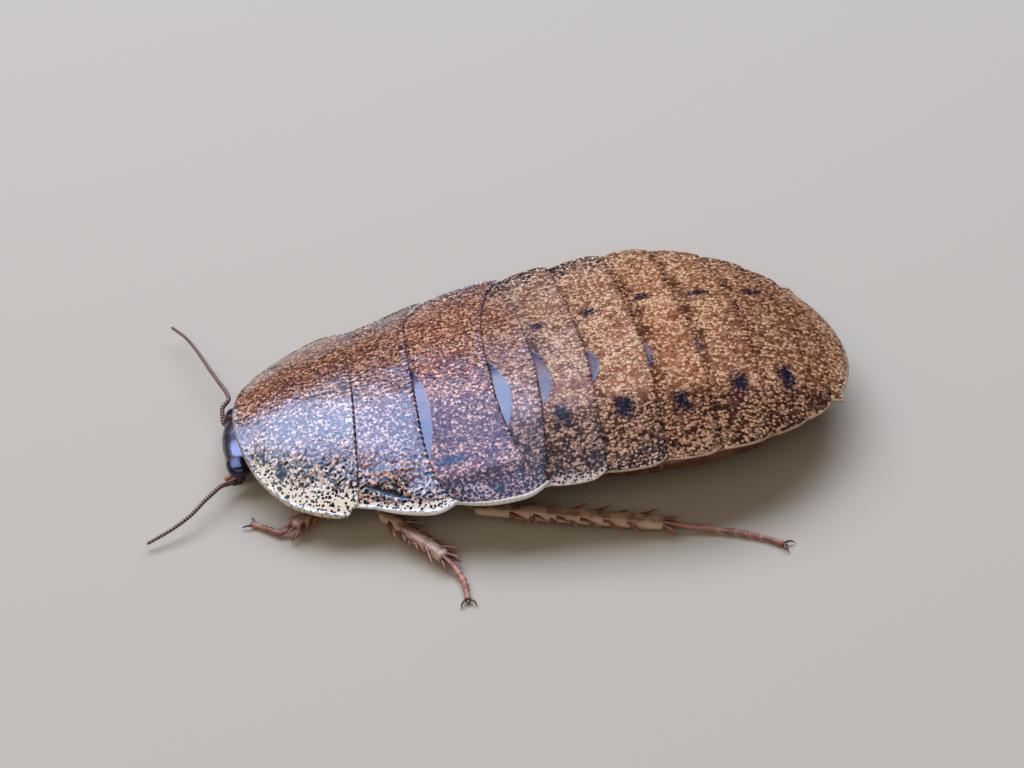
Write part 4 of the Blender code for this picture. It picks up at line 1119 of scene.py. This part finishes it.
CERCUS = ((24.3, 2.92, 1.85), (24.9, 2.9, 1.85), (25.4, 2.82, 1.84), (25.9, 2.6, 1.8))
for side, sign in SIDES:
    route = smooth_path([(x, sign * y, z) for x, y, z in CERCUS], 91)
    share = np.linspace(0, 1, 91)
    form = curve_through(((0, 0.2), (0.35, 0.29), (0.7, 0.24), (1, 0.1)), share)
    rings = 0.86 + 0.14 * np.sin(math.pi * ((share * 9) % 1)) ** 0.5
    radius = form * rings * np.sqrt(np.clip((1 - share) / 0.05 + 0.02, 0, 1))
    add_piece("ringed_cercus_" + side, *sweep(route, radius, radius * 0.8, 24), belly_chitin,
              "underside_chitin", ("cercus_" + side,))

# Camera, floor and lights: the photograph's view from the animal's left and a little above, on a
# pale studio floor, with a broad cool light behind and over the back and a warm fill in front.

CAMERA_PLACE = (4.852, -60.970, 51.111)
CAMERA_RIGHT = Vector((0.98709858, -0.15375981, -0.04465768))
CAMERA_UP = Vector((0.13032424, 0.60953305, 0.7819751))
CAMERA_BACK = Vector((-0.09301601, -0.77770649, 0.62170784))
SENSOR = 36.0
FOCAL_SHARE = 1800 / 1024   # focal length as a share of the picture's breadth
LIT_PLACE = (13.0, 0.0, 3.0)  # what the lights face
FLOOR = 0.6                 # half the floor's breadth, in metres


def plan_point(x, y, z):
    """World place of a point of the animal's plan."""
    return Vector((TIP + x * MM, MIDLINE + y * MM, z * MM))


camera_data = bpy.data.cameras.new("camera")
camera_data.sensor_width = SENSOR
camera_data.lens = SENSOR * FOCAL_SHARE
camera_data.clip_start = 0.001
camera_data.clip_end = 10.0
camera = bpy.data.objects.new("camera", camera_data)
axes = Matrix((CAMERA_RIGHT, CAMERA_UP, CAMERA_BACK)).transposed().to_4x4()
camera.matrix_world = Matrix.Translation(plan_point(*CAMERA_PLACE)) @ axes
bpy.context.scene.collection.objects.link(camera)
bpy.context.scene.camera = camera

floor_mesh = bpy.data.meshes.new("floor")
floor_mesh.from_pydata([(-FLOOR, -FLOOR, 0), (FLOOR, -FLOOR, 0), (FLOOR, FLOOR, 0), (-FLOOR, FLOOR, 0)],
                       [], [(0, 1, 2, 3)])
floor_paint = new_finish("matt_floor_paint", roughness=0.8, base_color=linear("#b2a998"))[0]
floor_mesh.materials.append(floor_paint)
floor = bpy.data.objects.new("floor", floor_mesh)
bpy.context.scene.collection.objects.link(floor)


def softbox(name, heading, elevation, distance, size, power, colour):
    """A rectangular light that faces the middle of the back. Heading 0 is behind the far side."""
    target = plan_point(*LIT_PLACE)
    turn, tilt = math.radians(heading), math.radians(elevation)
    way = Vector((math.sin(turn) * math.cos(tilt), math.cos(turn) * math.cos(tilt), math.sin(tilt)))
    data = bpy.data.lights.new(name, "AREA")
    data.shape = "RECTANGLE"
    data.size, data.size_y = size
    data.energy = power
    data.color = linear(colour)[:3]
    light = bpy.data.objects.new(name, data)
    light.location = target + way * distance
    light.rotation_euler = way.to_track_quat("Z", "Y").to_euler()
    bpy.context.scene.collection.objects.link(light)


softbox("sky_light", -6, 60.5, 0.3, (0.42, 0.22), 1.8, "#d6e2ff")
softbox("front_fill", 200, 45, 0.35, (0.3, 0.2), 0.36, "#ffeedc")
softbox("head_light", -75, 40, 0.35, (0.2, 0.2), 0.12, "#fff4e6")
world = bpy.data.worlds.new("studio")
world.use_nodes = True
world.node_tree.nodes["Background"].inputs["Color"].default_value = linear("#f2ece4")
world.node_tree.nodes["Background"].inputs["Strength"].default_value = 0.12
bpy.context.scene.world = world
bpy.context.scene.view_settings.view_transform = "Standard"
